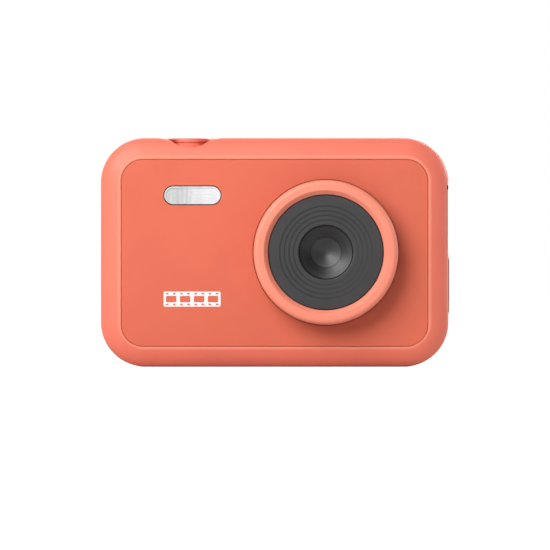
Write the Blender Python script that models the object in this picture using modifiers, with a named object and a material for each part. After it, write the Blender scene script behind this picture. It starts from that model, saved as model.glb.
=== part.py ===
"""Compact action camera with a rounded rectangular body.

The frame: +Z is up, the lens looks along -Y, and the origin is the middle of the base, under the
centre of the body's own bounding box. All sizes are in metres, written as millimetres times MM.
"""

import math

import bmesh
import bpy
from mathutils import Matrix, Vector

MM = 0.001

# Body: the driving dimensions.
BODY_W = 83.0 * MM
BODY_H = 54.6 * MM
BODY_D = 20.0 * MM
LENS_PROUD = 6.0 * MM
KEY_PROUD = 0.5 * MM
CORNER_R = 10.6 * MM
FRONT_ROUND = 4.4 * MM
BACK_ROUND = 3.6 * MM
WALL = 1.8 * MM
GAP = 0.3 * MM

HALF_W = BODY_W / 2
MID_Z = BODY_H / 2
FRONT_Y = LENS_PROUD - (LENS_PROUD + BODY_D + KEY_PROUD) / 2
BACK_Y = FRONT_Y + BODY_D
SPLIT_Y = BACK_Y - 4.0 * MM
RECESS_Y = FRONT_Y + 1.3 * MM
CAVITY_Y = FRONT_Y + 2.8 * MM
COVER_INNER_Y = BACK_Y - WALL
INNER_CORNER_R = CORNER_R - WALL

# Front panel and lens.
PANEL_W = 73.3 * MM
PANEL_H = 44.9 * MM
PANEL_R = 5.3 * MM
PANEL_GAP = 0.2 * MM
PANEL_Y = FRONT_Y + 0.1 * MM
LENS_X = 12.2 * MM
LENS_Z = MID_Z
RING_R = 17.25 * MM
RING_FRONT_Y = FRONT_Y - LENS_PROUD
RING_BORE_R = 13.95 * MM
BEZEL_R = 13.65 * MM
BEZEL_Y = RING_FRONT_Y + 1.15 * MM
BEZEL_BORE_R = 6.55 * MM
BARREL_R = 6.25 * MM
LENS_HOLE_R = 10.0 * MM

# Flash.
FLASH_X = -19.6 * MM
FLASH_Z = MID_Z + 13.6 * MM
FLASH_W = 13.85 * MM
FLASH_H = 4.7 * MM
SNUG = 0.15 * MM

# Shutter release, in a round well that breaks through the front rounding.
SHUTTER_X = -20.2 * MM
SHUTTER_Y = 0.7 * MM
WELL_R = 7.3 * MM
WELL_FLOOR_Z = BODY_H - 2.4 * MM
WELL_UNDER_Z = WELL_FLOOR_Z - 1.6 * MM
SHUTTER_R = 5.4 * MM

# Tripod bush, 1/4 inch thread.
BUSH_Y = 0.4 * MM
BUSH_R = 4.1 * MM
BUSH_HOLE_R = 3.1 * MM
BUSH_LOW_Z = 0.4 * MM
BUSH_HIGH_Z = 8.3 * MM
BUSH_SEAT_R = BUSH_R + GAP

# Strap eyelet through the upper right corner.
EYELET_X = HALF_W - CORNER_R
EYELET_Z = BODY_H - CORNER_R
EYELET_Y = -1.5 * MM
EYELET_W = 5.2 * MM
TUNNEL_IN_R = 6.2 * MM
TUNNEL_OUT_R = 8.6 * MM

# Side doors: (name, low Z, high Z, how far the outer face stands out of the side wall). The upper
# one lies in a shallow flat that is cut into the side.
DOORS = (
    ("card_door", 27.4 * MM, 43.6 * MM, -0.25 * MM),
    ("usb_door", 11.9 * MM, 26.2 * MM, 0.12 * MM),
)
SIDE_FLAT = 0.35 * MM
DOOR_LOW_Y = -1.4 * MM
DOOR_HIGH_Y = 7.1 * MM
DOOR_T = 1.4 * MM
DOOR_GAP = 0.25 * MM
KNUCKLE_R = 0.75 * MM
PIN_R = 0.4 * MM
PIN_CLEARANCE = 0.12 * MM
PORT_FLOOR_X = HALF_W - 3.35 * MM
USB_Z = 19.05 * MM
USB_W = 7.6 * MM
USB_LOW_Y = 0.8 * MM
BOARD_FRONT_Y = 3.6 * MM
CARD_Z = 35.5 * MM
CARD_W = 11.9 * MM
CARD_LOW_Y = 1.9 * MM

# Back: screen and keys.
SCREEN_X = 13.0 * MM
SCREEN_W = 46.2 * MM
SCREEN_H = 36.2 * MM
SCREEN_R = 2.5 * MM
SCREEN_RECESS = 1.1 * MM
PAD_X = -24.5 * MM
PAD_R = 9.6 * MM
PAD_INNER_R = 4.5 * MM
OK_R = 4.1 * MM
KEY_R = 2.6 * MM
KEY_FACE_Y = BACK_Y + KEY_PROUD
KEY_FLANGE_Y = COVER_INNER_Y - 0.35 * MM
KEY_FLANGE_T = 0.7 * MM
KEY_STEM_Y = 9.35 * MM
KEY_STEM_R = 1.0 * MM
KEY_STEM_REACH = 7.3 * MM
OK_FLANGE_R = 5.5 * MM
OK_FLANGE_Y = 9.85 * MM
OK_FLANGE_T = 0.4 * MM
KEY_SPREAD_X = 5.5 * MM
KEY_SPREAD_Z = 14.7 * MM
SMALL_KEYS = (
    ("power_key", 1, 1),
    ("mode_key", -1, 1),
    ("playback_key", 1, -1),
    ("menu_key", -1, -1),
)
PAD_KEYS = (("left_key", 0), ("up_key", 90), ("right_key", 180), ("down_key", 270))
PAD_HALF_ANGLE = 42.0

# Fasteners.
SCREW_X = 31.0 * MM
SCREW_Z = 20.6 * MM
POST_R = 2.2 * MM
SCREW_R = 0.65 * MM
SCREW_HEAD_R = 1.4 * MM
BOARD_SCREWS = ((-33.0 * MM, 13.5 * MM), (-33.0 * MM, 39.0 * MM), (35.9 * MM, 25.8 * MM))

FACING_FRONT = Matrix.Rotation(math.pi / 2, 4, "X")
FACING_BACK = Matrix.Rotation(-math.pi / 2, 4, "X")

# Finishes: colour, roughness, metallic.
FINISHES = {
    "orange_shell": ((0.88, 0.22, 0.12), 0.5, 0.0),
    "orange_panel": ((0.78, 0.18, 0.10), 0.6, 0.0),
    "black_plastic": ((0.06, 0.06, 0.06), 0.45, 0.0),
    "black_rubber": ((0.04, 0.04, 0.04), 0.7, 0.0),
    "grey_key": ((0.75, 0.76, 0.77), 0.5, 0.0),
    "lens_glass": ((0.05, 0.06, 0.08), 0.05, 0.0),
    "clear_plastic": ((0.9, 0.92, 0.93), 0.1, 0.0),
    "mirror_cup": ((0.85, 0.85, 0.86), 0.2, 1.0),
    "screen_black": ((0.01, 0.01, 0.012), 0.08, 0.0),
    "steel": ((0.6, 0.6, 0.62), 0.3, 1.0),
    "brass": ((0.75, 0.55, 0.25), 0.35, 1.0),
    "circuit_green": ((0.03, 0.2, 0.1), 0.5, 0.0),
    "chip_black": ((0.03, 0.03, 0.035), 0.4, 0.0),
    "battery_wrap": ((0.3, 0.32, 0.36), 0.45, 0.0),
}


def clear_scene():
    for obj in list(bpy.data.objects):
        bpy.data.objects.remove(obj, do_unlink=True)


def new_collection(name):
    collection = bpy.data.collections.new(name)
    bpy.context.scene.collection.children.link(collection)
    return collection


clear_scene()
PARTS = new_collection("action_camera")
HELPERS = new_collection("cutters")


def finish_of(name):
    """The shared material of one finish."""
    found = bpy.data.materials.get(name)
    if found:
        return found
    colour, roughness, metallic = FINISHES[name]
    made = bpy.data.materials.new(name)
    made.use_nodes = True
    shader = made.node_tree.nodes["Principled BSDF"]
    shader.inputs["Base Color"].default_value = (*colour, 1.0)
    shader.inputs["Roughness"].default_value = roughness
    shader.inputs["Metallic"].default_value = metallic
    return made


def link(name, mesh, finish):
    """An object for the mesh: a part with its finish, or a helper when finish is None."""
    obj = bpy.data.objects.new(name, mesh)
    if finish is None:
        HELPERS.objects.link(obj)
        obj.hide_render = True
        obj.display_type = "WIRE"
    else:
        PARTS.objects.link(obj)
        mesh.materials.append(finish_of(finish))
    return obj


def link_bmesh(name, bm, finish):
    mesh = bpy.data.meshes.new(name)
    bm.to_mesh(mesh)
    bm.free()
    mesh.shade_smooth()
    mesh.set_sharp_from_angle(angle=math.radians(30))
    return link(name, mesh, finish)


def bevel(bm, edges, radius, steps):
    bmesh.ops.bevel(
        bm,
        geom=edges,
        offset=radius,
        offset_type="OFFSET",
        segments=steps,
        profile=0.5,
        affect="EDGES",
        clamp_overlap=False,
    )


def edges_along(bm, axis):
    def runs(edge):
        step = edge.verts[0].co - edge.verts[1].co
        return all(abs(step[i]) < 1e-7 for i in range(3) if i != axis)

    return [edge for edge in bm.edges if runs(edge)]


def edges_at(bm, axis, level):
    return [
        edge
        for edge in bm.edges
        if all(abs(vert.co[axis] - level) < 1e-7 for vert in edge.verts)
    ]


def block(name, low, high, finish=None, corner=0.0, axis=1, steps=6, low_round=0.0, high_round=0.0,
          round_steps=4):
    """A box between two corners. Its four edges along axis are rounded by corner, and the rims of
    its faces at the low and high end of axis by low_round and high_round."""
    low, high = Vector(low), Vector(high)
    bm = bmesh.new()
    bmesh.ops.create_cube(bm, size=1.0)
    bmesh.ops.scale(bm, vec=high - low, verts=bm.verts)
    bmesh.ops.translate(bm, vec=(low + high) / 2, verts=bm.verts)
    if corner:
        bevel(bm, edges_along(bm, axis), corner, steps)
    if low_round:
        bevel(bm, edges_at(bm, axis, low[axis]), low_round, round_steps)
    if high_round:
        bevel(bm, edges_at(bm, axis, high[axis]), high_round, round_steps)
    return link_bmesh(name, bm, finish)


def plate(name, centre_x, centre_z, width, height, y0, y1, finish=None, **rounding):
    """A block facing front, by its centre, width and height."""
    half_w, half_h = width / 2, height / 2
    low = (centre_x - half_w, y0, centre_z - half_h)
    high = (centre_x + half_w, y1, centre_z + half_h)
    return block(name, low, high, finish, **rounding)


def rod(name, start, end, radius, finish=None, sides=24):
    """A cylinder from start to end, along one of the axes."""
    start, end = Vector(start), Vector(end)
    step = end - start
    bm = bmesh.new()
    bmesh.ops.create_cone(
        bm, cap_ends=True, segments=sides, radius1=radius, radius2=radius, depth=step.length
    )
    turn = step.to_track_quat("Z", "Y").to_matrix().to_4x4()
    bmesh.ops.transform(bm, matrix=Matrix.Translation((start + end) / 2) @ turn, verts=bm.verts)
    return link_bmesh(name, bm, finish)


def turned(name, profile, place, finish=None, steps=32, closed=True):
    """A profile of (radius, height) points turned about the local Z axis. It runs down its outer
    side first. An open profile starts and ends on the axis."""
    points = [(radius, 0.0, height) for radius, height in profile]
    edges = [(i, i + 1) for i in range(len(points) - 1)]
    if closed:
        edges.append((len(points) - 1, 0))
    mesh = bpy.data.meshes.new(name)
    mesh.from_pydata(points, edges, [])
    obj = link(name, mesh, finish)
    obj.matrix_world = place
    screw = obj.modifiers.new("turn", "SCREW")
    screw.steps = steps
    screw.render_steps = steps
    screw.use_merge_vertices = True
    screw.merge_threshold = 0.005 * MM
    return obj


def on_lens_axis(profile):
    """(radius, y) points as (radius, height) with height towards the front."""
    return [(radius, -y) for radius, y in profile]


LENS_PLACE = Matrix.Translation((LENS_X, 0.0, LENS_Z)) @ FACING_FRONT


def prism(name, outline, y0, y1, finish=None):
    """A flat (x, z) outline extruded from y0 to y1."""
    curve = bpy.data.curves.new(name, "CURVE")
    curve.dimensions = "2D"
    curve.fill_mode = "BOTH"
    curve.extrude = (y1 - y0) / 2
    spline = curve.splines.new("POLY")
    spline.points.add(len(outline) - 1)
    for point, (x, z) in zip(spline.points, outline):
        point.co = (x, z, 0.0, 1.0)
    spline.use_cyclic_u = True
    guide = bpy.data.objects.new(name + "_outline", curve)
    HELPERS.objects.link(guide)
    bpy.context.view_layer.update()
    graph = bpy.context.evaluated_depsgraph_get()
    mesh = bpy.data.meshes.new_from_object(guide.evaluated_get(graph))
    mesh.name = name
    bpy.data.objects.remove(guide)
    bm = bmesh.new()
    bm.from_mesh(mesh)
    bmesh.ops.remove_doubles(bm, verts=bm.verts, dist=0.001 * MM)
    bmesh.ops.recalc_face_normals(bm, faces=bm.faces)
    bm.transform(Matrix.Translation((0.0, (y0 + y1) / 2, 0.0)) @ FACING_FRONT)
    bm.to_mesh(mesh)
    bm.free()
    mesh.materials.clear()
    return link(name, mesh, finish)


def arc(centre_x, centre_z, radius, start, end, steps):
    """Points on an arc, by its angles in degrees from +X towards +Z."""
    angles = [math.radians(start + (end - start) * i / steps) for i in range(steps + 1)]
    return [
        (centre_x + radius * math.cos(angle), centre_z + radius * math.sin(angle))
        for angle in angles
    ]


def sector(centre_x, centre_z, inner, outer, start, end, steps=8):
    """The outline of a piece of a ring."""
    return arc(centre_x, centre_z, outer, start, end, steps) + arc(
        centre_x, centre_z, inner, end, start, steps
    )


def apply_boolean(obj, operation, others):
    for other in others:
        modifier = obj.modifiers.new(other.name, "BOOLEAN")
        modifier.operation = operation
        modifier.solver = "EXACT"
        modifier.object = other


def cut(obj, *cutters):
    apply_boolean(obj, "DIFFERENCE", cutters)
    return obj


def join(obj, *pieces):
    apply_boolean(obj, "UNION", pieces)
    return obj


def case_screw_places():
    return [
        (side * SCREW_X, MID_Z + level * SCREW_Z) for side in (-1, 1) for level in (-1, 1)
    ]


def small_key_place(side, level):
    return PAD_X - side * KEY_SPREAD_X, MID_Z + level * KEY_SPREAD_Z


def door_pin_place(low_z, proud):
    """(x, z) of a door's hinge pin."""
    return HALF_W + proud - KNUCKLE_R, low_z + GAP + KNUCKLE_R


def housing_cavity():
    """The hollow of the front housing: a rounded block less the pads, posts and bosses that the
    housing keeps."""
    cavity = block(
        "cavity",
        (-HALF_W + WALL, CAVITY_Y, WALL),
        (HALF_W - WALL, SPLIT_Y + GAP, BODY_H - WALL),
        corner=INNER_CORNER_R,
        low_round=3.0 * MM,
    )
    kept = [
        block("port_pad", (PORT_FLOOR_X, -2.6 * MM, 10.7 * MM), (HALF_W, 7.4 * MM, 44.8 * MM)),
        rod("well_pad", (SHUTTER_X, SHUTTER_Y, WELL_UNDER_Z), (SHUTTER_X, SHUTTER_Y, BODY_H),
            WELL_R + 1.4 * MM),
        rod("bush_boss", (0.0, BUSH_Y, -GAP), (0.0, BUSH_Y, BUSH_HIGH_Z + 1.3 * MM),
            BUSH_SEAT_R + 1.0 * MM),
        prism(
            "eyelet_pad",
            sector(EYELET_X, EYELET_Z, TUNNEL_IN_R - 1.4 * MM, CORNER_R - 1.0 * MM, -10, 100),
            EYELET_Y - EYELET_W / 2 - 1.2 * MM,
            EYELET_Y + EYELET_W / 2 + 1.2 * MM,
        ),
    ]
    for index, (x, z) in enumerate(case_screw_places()):
        kept.append(
            rod(f"case_post_{index}", (x, CAVITY_Y - WALL / 2, z), (x, SPLIT_Y + 1.0 * MM, z),
                POST_R, sides=16)
        )
    for index, (x, z) in enumerate(BOARD_SCREWS):
        kept.append(
            rod(f"board_post_{index}", (x, CAVITY_Y - WALL / 2, z), (x, BOARD_FRONT_Y - GAP, z),
                1.8 * MM, sides=16)
        )
    return cut(cavity, *kept)


def eyelet_cutters():
    """The strap's tunnel behind the corner, and its two mouths either side of the bridge."""
    y0, y1 = EYELET_Y - EYELET_W / 2, EYELET_Y + EYELET_W / 2
    reach = CORNER_R + 2.0 * MM
    return [
        prism("eyelet_tunnel", sector(EYELET_X, EYELET_Z, TUNNEL_IN_R, TUNNEL_OUT_R, 15, 73, 9),
              y0, y1),
        prism("eyelet_upper_mouth",
              sector(EYELET_X, EYELET_Z, TUNNEL_IN_R + GAP, reach, 54, 71, 4),
              y0 + 0.01 * MM, y1 - 0.01 * MM),
        prism("eyelet_lower_mouth",
              sector(EYELET_X, EYELET_Z, TUNNEL_IN_R + GAP, reach, 17, 37, 4),
              y0 + 0.01 * MM, y1 - 0.01 * MM),
    ]


def door_cutters():
    """The doors' pockets in the side wall, the bores for their pins and the ports' windows."""
    made = []
    for name, low_z, high_z, proud in DOORS:
        floor_x = HALF_W + proud - DOOR_T - GAP
        made.append(
            block(name + "_pocket", (floor_x, DOOR_LOW_Y, low_z),
                  (HALF_W + 2.0 * MM, DOOR_HIGH_Y, high_z), corner=0.8 * MM, axis=0, steps=3)
        )
        x, z = door_pin_place(low_z, proud)
        made.append(
            rod(name + "_pin_bore", (x, DOOR_LOW_Y - 1.0 * MM, z), (x, DOOR_HIGH_Y + 1.0 * MM, z),
                PIN_R + PIN_CLEARANCE, sides=12)
        )
    _, flat_low_z, flat_high_z, _ = DOORS[0]
    made.append(
        block("side_flat", (HALF_W - SIDE_FLAT, FRONT_Y, flat_low_z),
              (HALF_W + 2.0 * MM, DOOR_HIGH_Y + 0.5 * MM, flat_high_z))
    )
    made.append(
        block("usb_window", (PORT_FLOOR_X - 1.0 * MM, USB_LOW_Y - GAP, USB_Z - USB_W / 2 - GAP),
              (HALF_W, BOARD_FRONT_Y + 0.1 * MM, USB_Z + USB_W / 2 + GAP))
    )
    made.append(
        block("card_window", (PORT_FLOOR_X - 1.0 * MM, CARD_LOW_Y - GAP, CARD_Z - CARD_W / 2 - GAP),
              (HALF_W, BOARD_FRONT_Y + 0.1 * MM, CARD_Z + CARD_W / 2 + GAP))
    )
    return made


def make_front_housing():
    housing = block(
        "front_housing",
        (-HALF_W, FRONT_Y, 0.0),
        (HALF_W, SPLIT_Y - GAP, BODY_H),
        "orange_shell",
        corner=CORNER_R,
        steps=10,
        low_round=FRONT_ROUND,
        round_steps=6,
    )
    panel_recess = plate("panel_recess", 0.0, MID_Z, PANEL_W, PANEL_H, FRONT_Y - 1.0 * MM, RECESS_Y,
                         corner=PANEL_R)
    lens_hole = rod("lens_hole", (LENS_X, FRONT_Y, LENS_Z), (LENS_X, 0.0, LENS_Z), LENS_HOLE_R)
    flash_hole = plate("flash_hole", FLASH_X, FLASH_Z, FLASH_W, FLASH_H, FRONT_Y, 0.0,
                       corner=FLASH_H / 2 - 0.01 * MM, steps=8)
    well = rod("shutter_well", (SHUTTER_X, SHUTTER_Y, WELL_FLOOR_Z),
               (SHUTTER_X, SHUTTER_Y, BODY_H + 2.0 * MM), WELL_R, sides=40)
    well_hole = rod("shutter_hole", (SHUTTER_X, SHUTTER_Y, BODY_H - 9.0 * MM),
                    (SHUTTER_X, SHUTTER_Y, BODY_H), SHUTTER_R + GAP, sides=32)
    bush_seat = rod("bush_seat", (0.0, BUSH_Y, -2.0 * MM), (0.0, BUSH_Y, BUSH_HIGH_Z + GAP),
                    BUSH_SEAT_R, sides=32)
    mic_hole = rod("mic_hole", (3.0 * MM, 2.8 * MM, BODY_H - 3.0 * MM),
                   (3.0 * MM, 2.8 * MM, BODY_H + 1.0 * MM), 0.5 * MM, sides=10)
    speaker_holes = [
        rod(f"speaker_hole_{i}", (-HALF_W - 1.0 * MM, 2.2 * MM, (12.1 + 2.2 * i) * MM),
            (-HALF_W + 3.0 * MM, 2.2 * MM, (12.1 + 2.2 * i) * MM), 0.6 * MM, sides=10)
        for i in range(5)
    ]
    screw_bores = [
        rod(f"case_bore_{i}", (x, 0.5 * MM, z), (x, SPLIT_Y + 1.0 * MM, z), SCREW_R + SNUG, sides=12)
        for i, (x, z) in enumerate(case_screw_places())
    ]
    screw_bores += [
        rod(f"board_bore_{i}", (x, -1.0 * MM, z), (x, SPLIT_Y, z), SCREW_R + SNUG, sides=12)
        for i, (x, z) in enumerate(BOARD_SCREWS)
    ]
    cut(housing, housing_cavity(), panel_recess, lens_hole, flash_hole, well, well_hole, bush_seat,
        mic_hole, *speaker_holes, *screw_bores, *eyelet_cutters(), *door_cutters())


def make_rear_cover():
    """The shallow back of the case, with a lip that enters the housing."""
    cover = block(
        "rear_cover",
        (-HALF_W, SPLIT_Y, 0.0),
        (HALF_W, BACK_Y, BODY_H),
        "orange_shell",
        corner=CORNER_R,
        steps=10,
        high_round=BACK_ROUND,
        round_steps=5,
    )
    lip_edge = WALL + GAP
    lip = block(
        "cover_lip",
        (-HALF_W + lip_edge, SPLIT_Y - 1.05 * MM, lip_edge),
        (HALF_W - lip_edge, COVER_INNER_Y + 0.5 * MM, BODY_H - lip_edge),
        corner=CORNER_R - lip_edge,
    )
    hollow_edge = lip_edge + 0.8 * MM
    hollow = block(
        "cover_hollow",
        (-HALF_W + hollow_edge, SPLIT_Y - 2.0 * MM, hollow_edge),
        (HALF_W - hollow_edge, COVER_INNER_Y, BODY_H - hollow_edge),
        corner=CORNER_R - hollow_edge,
    )
    posts = [
        rod(f"cover_post_{i}", (x, SPLIT_Y, z), (x, BACK_Y, z), POST_R, sides=16)
        for i, (x, z) in enumerate(case_screw_places())
    ]
    cut(hollow, *posts)
    screw_holes = [
        rod(f"cover_bore_{i}", (x, SPLIT_Y - 1.0 * MM, z), (x, BACK_Y + 1.0 * MM, z), 0.95 * MM,
            sides=12)
        for i, (x, z) in enumerate(case_screw_places())
    ]
    screw_seats = [
        rod(f"cover_seat_{i}", (x, BACK_Y - 1.1 * MM, z), (x, BACK_Y + 1.0 * MM, z),
            SCREW_HEAD_R + 0.2 * MM, sides=20)
        for i, (x, z) in enumerate(case_screw_places())
    ]
    window_recess = plate("window_recess", SCREEN_X, MID_Z, SCREEN_W, SCREEN_H,
                          BACK_Y - SCREEN_RECESS, BACK_Y + 1.0 * MM, corner=SCREEN_R, steps=4)
    lcd_opening = plate("lcd_opening", SCREEN_X, MID_Z, 42.0 * MM, 32.0 * MM, SPLIT_Y, BACK_Y)
    pad_hole = rod("pad_hole", (PAD_X, SPLIT_Y, MID_Z), (PAD_X, BACK_Y + 1.0 * MM, MID_Z),
                   PAD_R + GAP, sides=40)
    key_holes = []
    for name, side, level in SMALL_KEYS:
        x, z = small_key_place(side, level)
        key_holes.append(
            rod(name + "_hole", (x, SPLIT_Y, z), (x, BACK_Y + 1.0 * MM, z), KEY_R + GAP, sides=24)
        )
    light_z = MID_Z + KEY_SPREAD_Z
    light_hole = rod("light_hole", (PAD_X, SPLIT_Y, light_z), (PAD_X, BACK_Y + 1.0 * MM, light_z),
                     1.0 * MM, sides=16)
    well_relief = block("well_relief", (SHUTTER_X - 9.2 * MM, SPLIT_Y - 2.0 * MM, BODY_H - 8.0 * MM),
                        (SHUTTER_X + 9.2 * MM, 9.8 * MM, BODY_H - WALL))
    join(cover, lip)
    cut(cover, well_relief, hollow, *screw_holes, *screw_seats, window_recess, lcd_opening,
        pad_hole, *key_holes, light_hole)


def make_front_panel():
    panel = plate("front_panel", 0.0, MID_Z, PANEL_W - 2 * PANEL_GAP, PANEL_H - 2 * PANEL_GAP,
                  PANEL_Y, RECESS_Y - SNUG, "orange_panel", corner=PANEL_R - PANEL_GAP, steps=8)
    lens_hole = rod("panel_lens_hole", (LENS_X, FRONT_Y - 1.0 * MM, LENS_Z), (LENS_X, 0.0, LENS_Z),
                    RING_R + PANEL_GAP, sides=48)
    flash_hole = plate("panel_flash_hole", FLASH_X, FLASH_Z, FLASH_W, FLASH_H,
                       FRONT_Y - 1.0 * MM, 0.0, corner=FLASH_H / 2 - 0.01 * MM, steps=8)
    cut(panel, lens_hole, flash_hole)


def make_lens_ring():
    """The raised trim ring, which passes through the panel and stands on the housing."""
    front, edge = RING_FRONT_Y, 1.2 * MM
    rounding = [
        (RING_R - edge + edge * math.sin(angle), front + edge - edge * math.cos(angle))
        for angle in (math.radians(30 * i) for i in range(4))
    ]
    profile = rounding + [
        (RING_R, RECESS_Y - SNUG),
        (RING_BORE_R, RECESS_Y - SNUG),
        (RING_BORE_R, BEZEL_Y - 0.1 * MM),
        (RING_BORE_R + 0.85 * MM, front + 0.25 * MM),
        (RING_BORE_R + 1.2 * MM, front),
    ]
    turned("lens_ring", on_lens_axis(profile), LENS_PLACE, "orange_shell", steps=48)


def make_lens_bezel():
    """The black disc round the lens, which steps down towards its bore."""
    steps, rise = 5, 0.3 * MM
    inner_r, pitch = 6.8 * MM, 1.075 * MM
    profile = [
        (BEZEL_R, BEZEL_Y),
        (BEZEL_R, RECESS_Y - SNUG),
        (BEZEL_R - 1.2 * MM, RECESS_Y - SNUG),
        (BEZEL_R - 1.2 * MM, BEZEL_Y + 2.7 * MM),
        (BEZEL_BORE_R, BEZEL_Y + 2.7 * MM),
        (BEZEL_BORE_R, BEZEL_Y + steps * rise),
    ]
    for i in range(steps):
        radius = inner_r + i * pitch
        profile.append((radius, BEZEL_Y + (steps - i) * rise))
        profile.append((radius, BEZEL_Y + (steps - i - 1) * rise))
    turned("lens_bezel", on_lens_axis(profile), LENS_PLACE, "black_plastic", steps=40)


def make_lens():
    """Barrel with a funnel mouth, two glass elements, the holder, the filter and the sensor."""
    barrel = [
        (BARREL_R, -10.3 * MM),
        (BARREL_R, -9.0 * MM),
        (7.0 * MM, -9.0 * MM),
        (7.0 * MM, -0.9 * MM),
        (3.7 * MM, -0.9 * MM),
        (3.7 * MM, -3.3 * MM),
        (3.2 * MM, -3.3 * MM),
        (3.2 * MM, -5.4 * MM),
        (3.9 * MM, -5.4 * MM),
        (3.9 * MM, -9.2 * MM),
        (5.2 * MM, -9.9 * MM),
        (6.05 * MM, -10.3 * MM),
    ]
    turned("lens_barrel", on_lens_axis(barrel), LENS_PLACE, "black_plastic")
    front = [
        (0.0, -7.85 * MM),
        (1.2 * MM, -8.0 * MM),
        (3.4 * MM, -8.85 * MM),
        (3.75 * MM, -8.9 * MM),
        (3.75 * MM, -5.7 * MM),
        (0.0, -5.7 * MM),
    ]
    turned("front_lens", on_lens_axis(front), LENS_PLACE, "lens_glass", steps=24, closed=False)
    rear = [
        (0.0, -3.0 * MM),
        (3.4 * MM, -3.0 * MM),
        (3.4 * MM, -1.9 * MM),
        (1.8 * MM, -1.45 * MM),
        (0.0, -1.3 * MM),
    ]
    turned("rear_lens", on_lens_axis(rear), LENS_PLACE, "lens_glass", steps=20, closed=False)
    holder = plate("lens_holder", LENS_X, LENS_Z, 18.0 * MM, 18.0 * MM, -1.8 * MM, 0.8 * MM,
                   "black_plastic", corner=1.5 * MM, steps=3)
    collar = rod("holder_collar", (LENS_X, -4.1 * MM, LENS_Z), (LENS_X, 0.4 * MM, LENS_Z),
                 8.6 * MM, sides=28)
    bore = rod("holder_bore", (LENS_X, -5.0 * MM, LENS_Z), (LENS_X, -0.6 * MM, LENS_Z), 7.3 * MM,
               sides=32)
    chamber = plate("holder_chamber", LENS_X, LENS_Z, 10.0 * MM, 10.0 * MM, -1.0 * MM, 2.0 * MM)
    join(holder, collar)
    cut(holder, bore, chamber)
    plate("ir_filter", LENS_X, LENS_Z, 8.4 * MM, 8.4 * MM, -0.55 * MM, -0.2 * MM, "lens_glass")
    plate("image_sensor", LENS_X, LENS_Z, 7.0 * MM, 6.2 * MM, 0.1 * MM, 0.85 * MM, "chip_black")
    plate("sensor_board", LENS_X, LENS_Z, 20.0 * MM, 20.0 * MM, 1.1 * MM, 1.9 * MM,
          "circuit_green", corner=1.0 * MM, steps=2)
    plate("sensor_connector", LENS_X, LENS_Z - 6.0 * MM, 12.0 * MM, 3.0 * MM, 2.05 * MM, 3.45 * MM,
          "chip_black")


def make_flash():
    window = plate("flash_window", FLASH_X, FLASH_Z, FLASH_W - 2 * SNUG, FLASH_H - 2 * SNUG,
                   PANEL_Y, CAVITY_Y + 0.5 * MM, "clear_plastic",
                   corner=FLASH_H / 2 - SNUG - 0.01 * MM, steps=8)
    flange = plate("flash_flange", FLASH_X, FLASH_Z, FLASH_W + 1.8 * MM, FLASH_H + 1.8 * MM,
                   CAVITY_Y + SNUG, CAVITY_Y + 0.9 * MM)
    join(window, flange)
    cup_y = CAVITY_Y + 1.2 * MM
    cup = plate("flash_reflector", FLASH_X, FLASH_Z, FLASH_W + 1.8 * MM, FLASH_H + 1.8 * MM,
                cup_y, cup_y + 2.8 * MM, "mirror_cup", corner=1.0 * MM, steps=2)
    bm = bmesh.new()
    bmesh.ops.create_cone(bm, cap_ends=True, segments=4, radius1=0.5, radius2=0.25, depth=1.0)
    bmesh.ops.rotate(bm, matrix=Matrix.Rotation(math.pi / 4, 3, "Z"), verts=bm.verts)
    bmesh.ops.scale(bm, vec=(19.0 * MM, 6.6 * MM, 2.4 * MM), verts=bm.verts)
    hollow = link_bmesh("reflector_hollow", bm, None)
    hollow.matrix_world = (
        Matrix.Translation((FLASH_X, cup_y + 1.1 * MM, FLASH_Z)) @ FACING_BACK
    )
    led_hole = plate("led_hole", FLASH_X, FLASH_Z, 3.6 * MM, 2.2 * MM, cup_y, cup_y + 4.0 * MM)
    cut(cup, hollow, led_hole)
    board_y = cup_y + 3.1 * MM
    plate("flash_led", FLASH_X, FLASH_Z, 2.8 * MM, 1.6 * MM, cup_y + 2.2 * MM, board_y - SNUG,
          "clear_plastic")
    plate("flash_board", FLASH_X, FLASH_Z, 15.0 * MM, 6.0 * MM, board_y, board_y + 0.8 * MM,
          "circuit_green")


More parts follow.
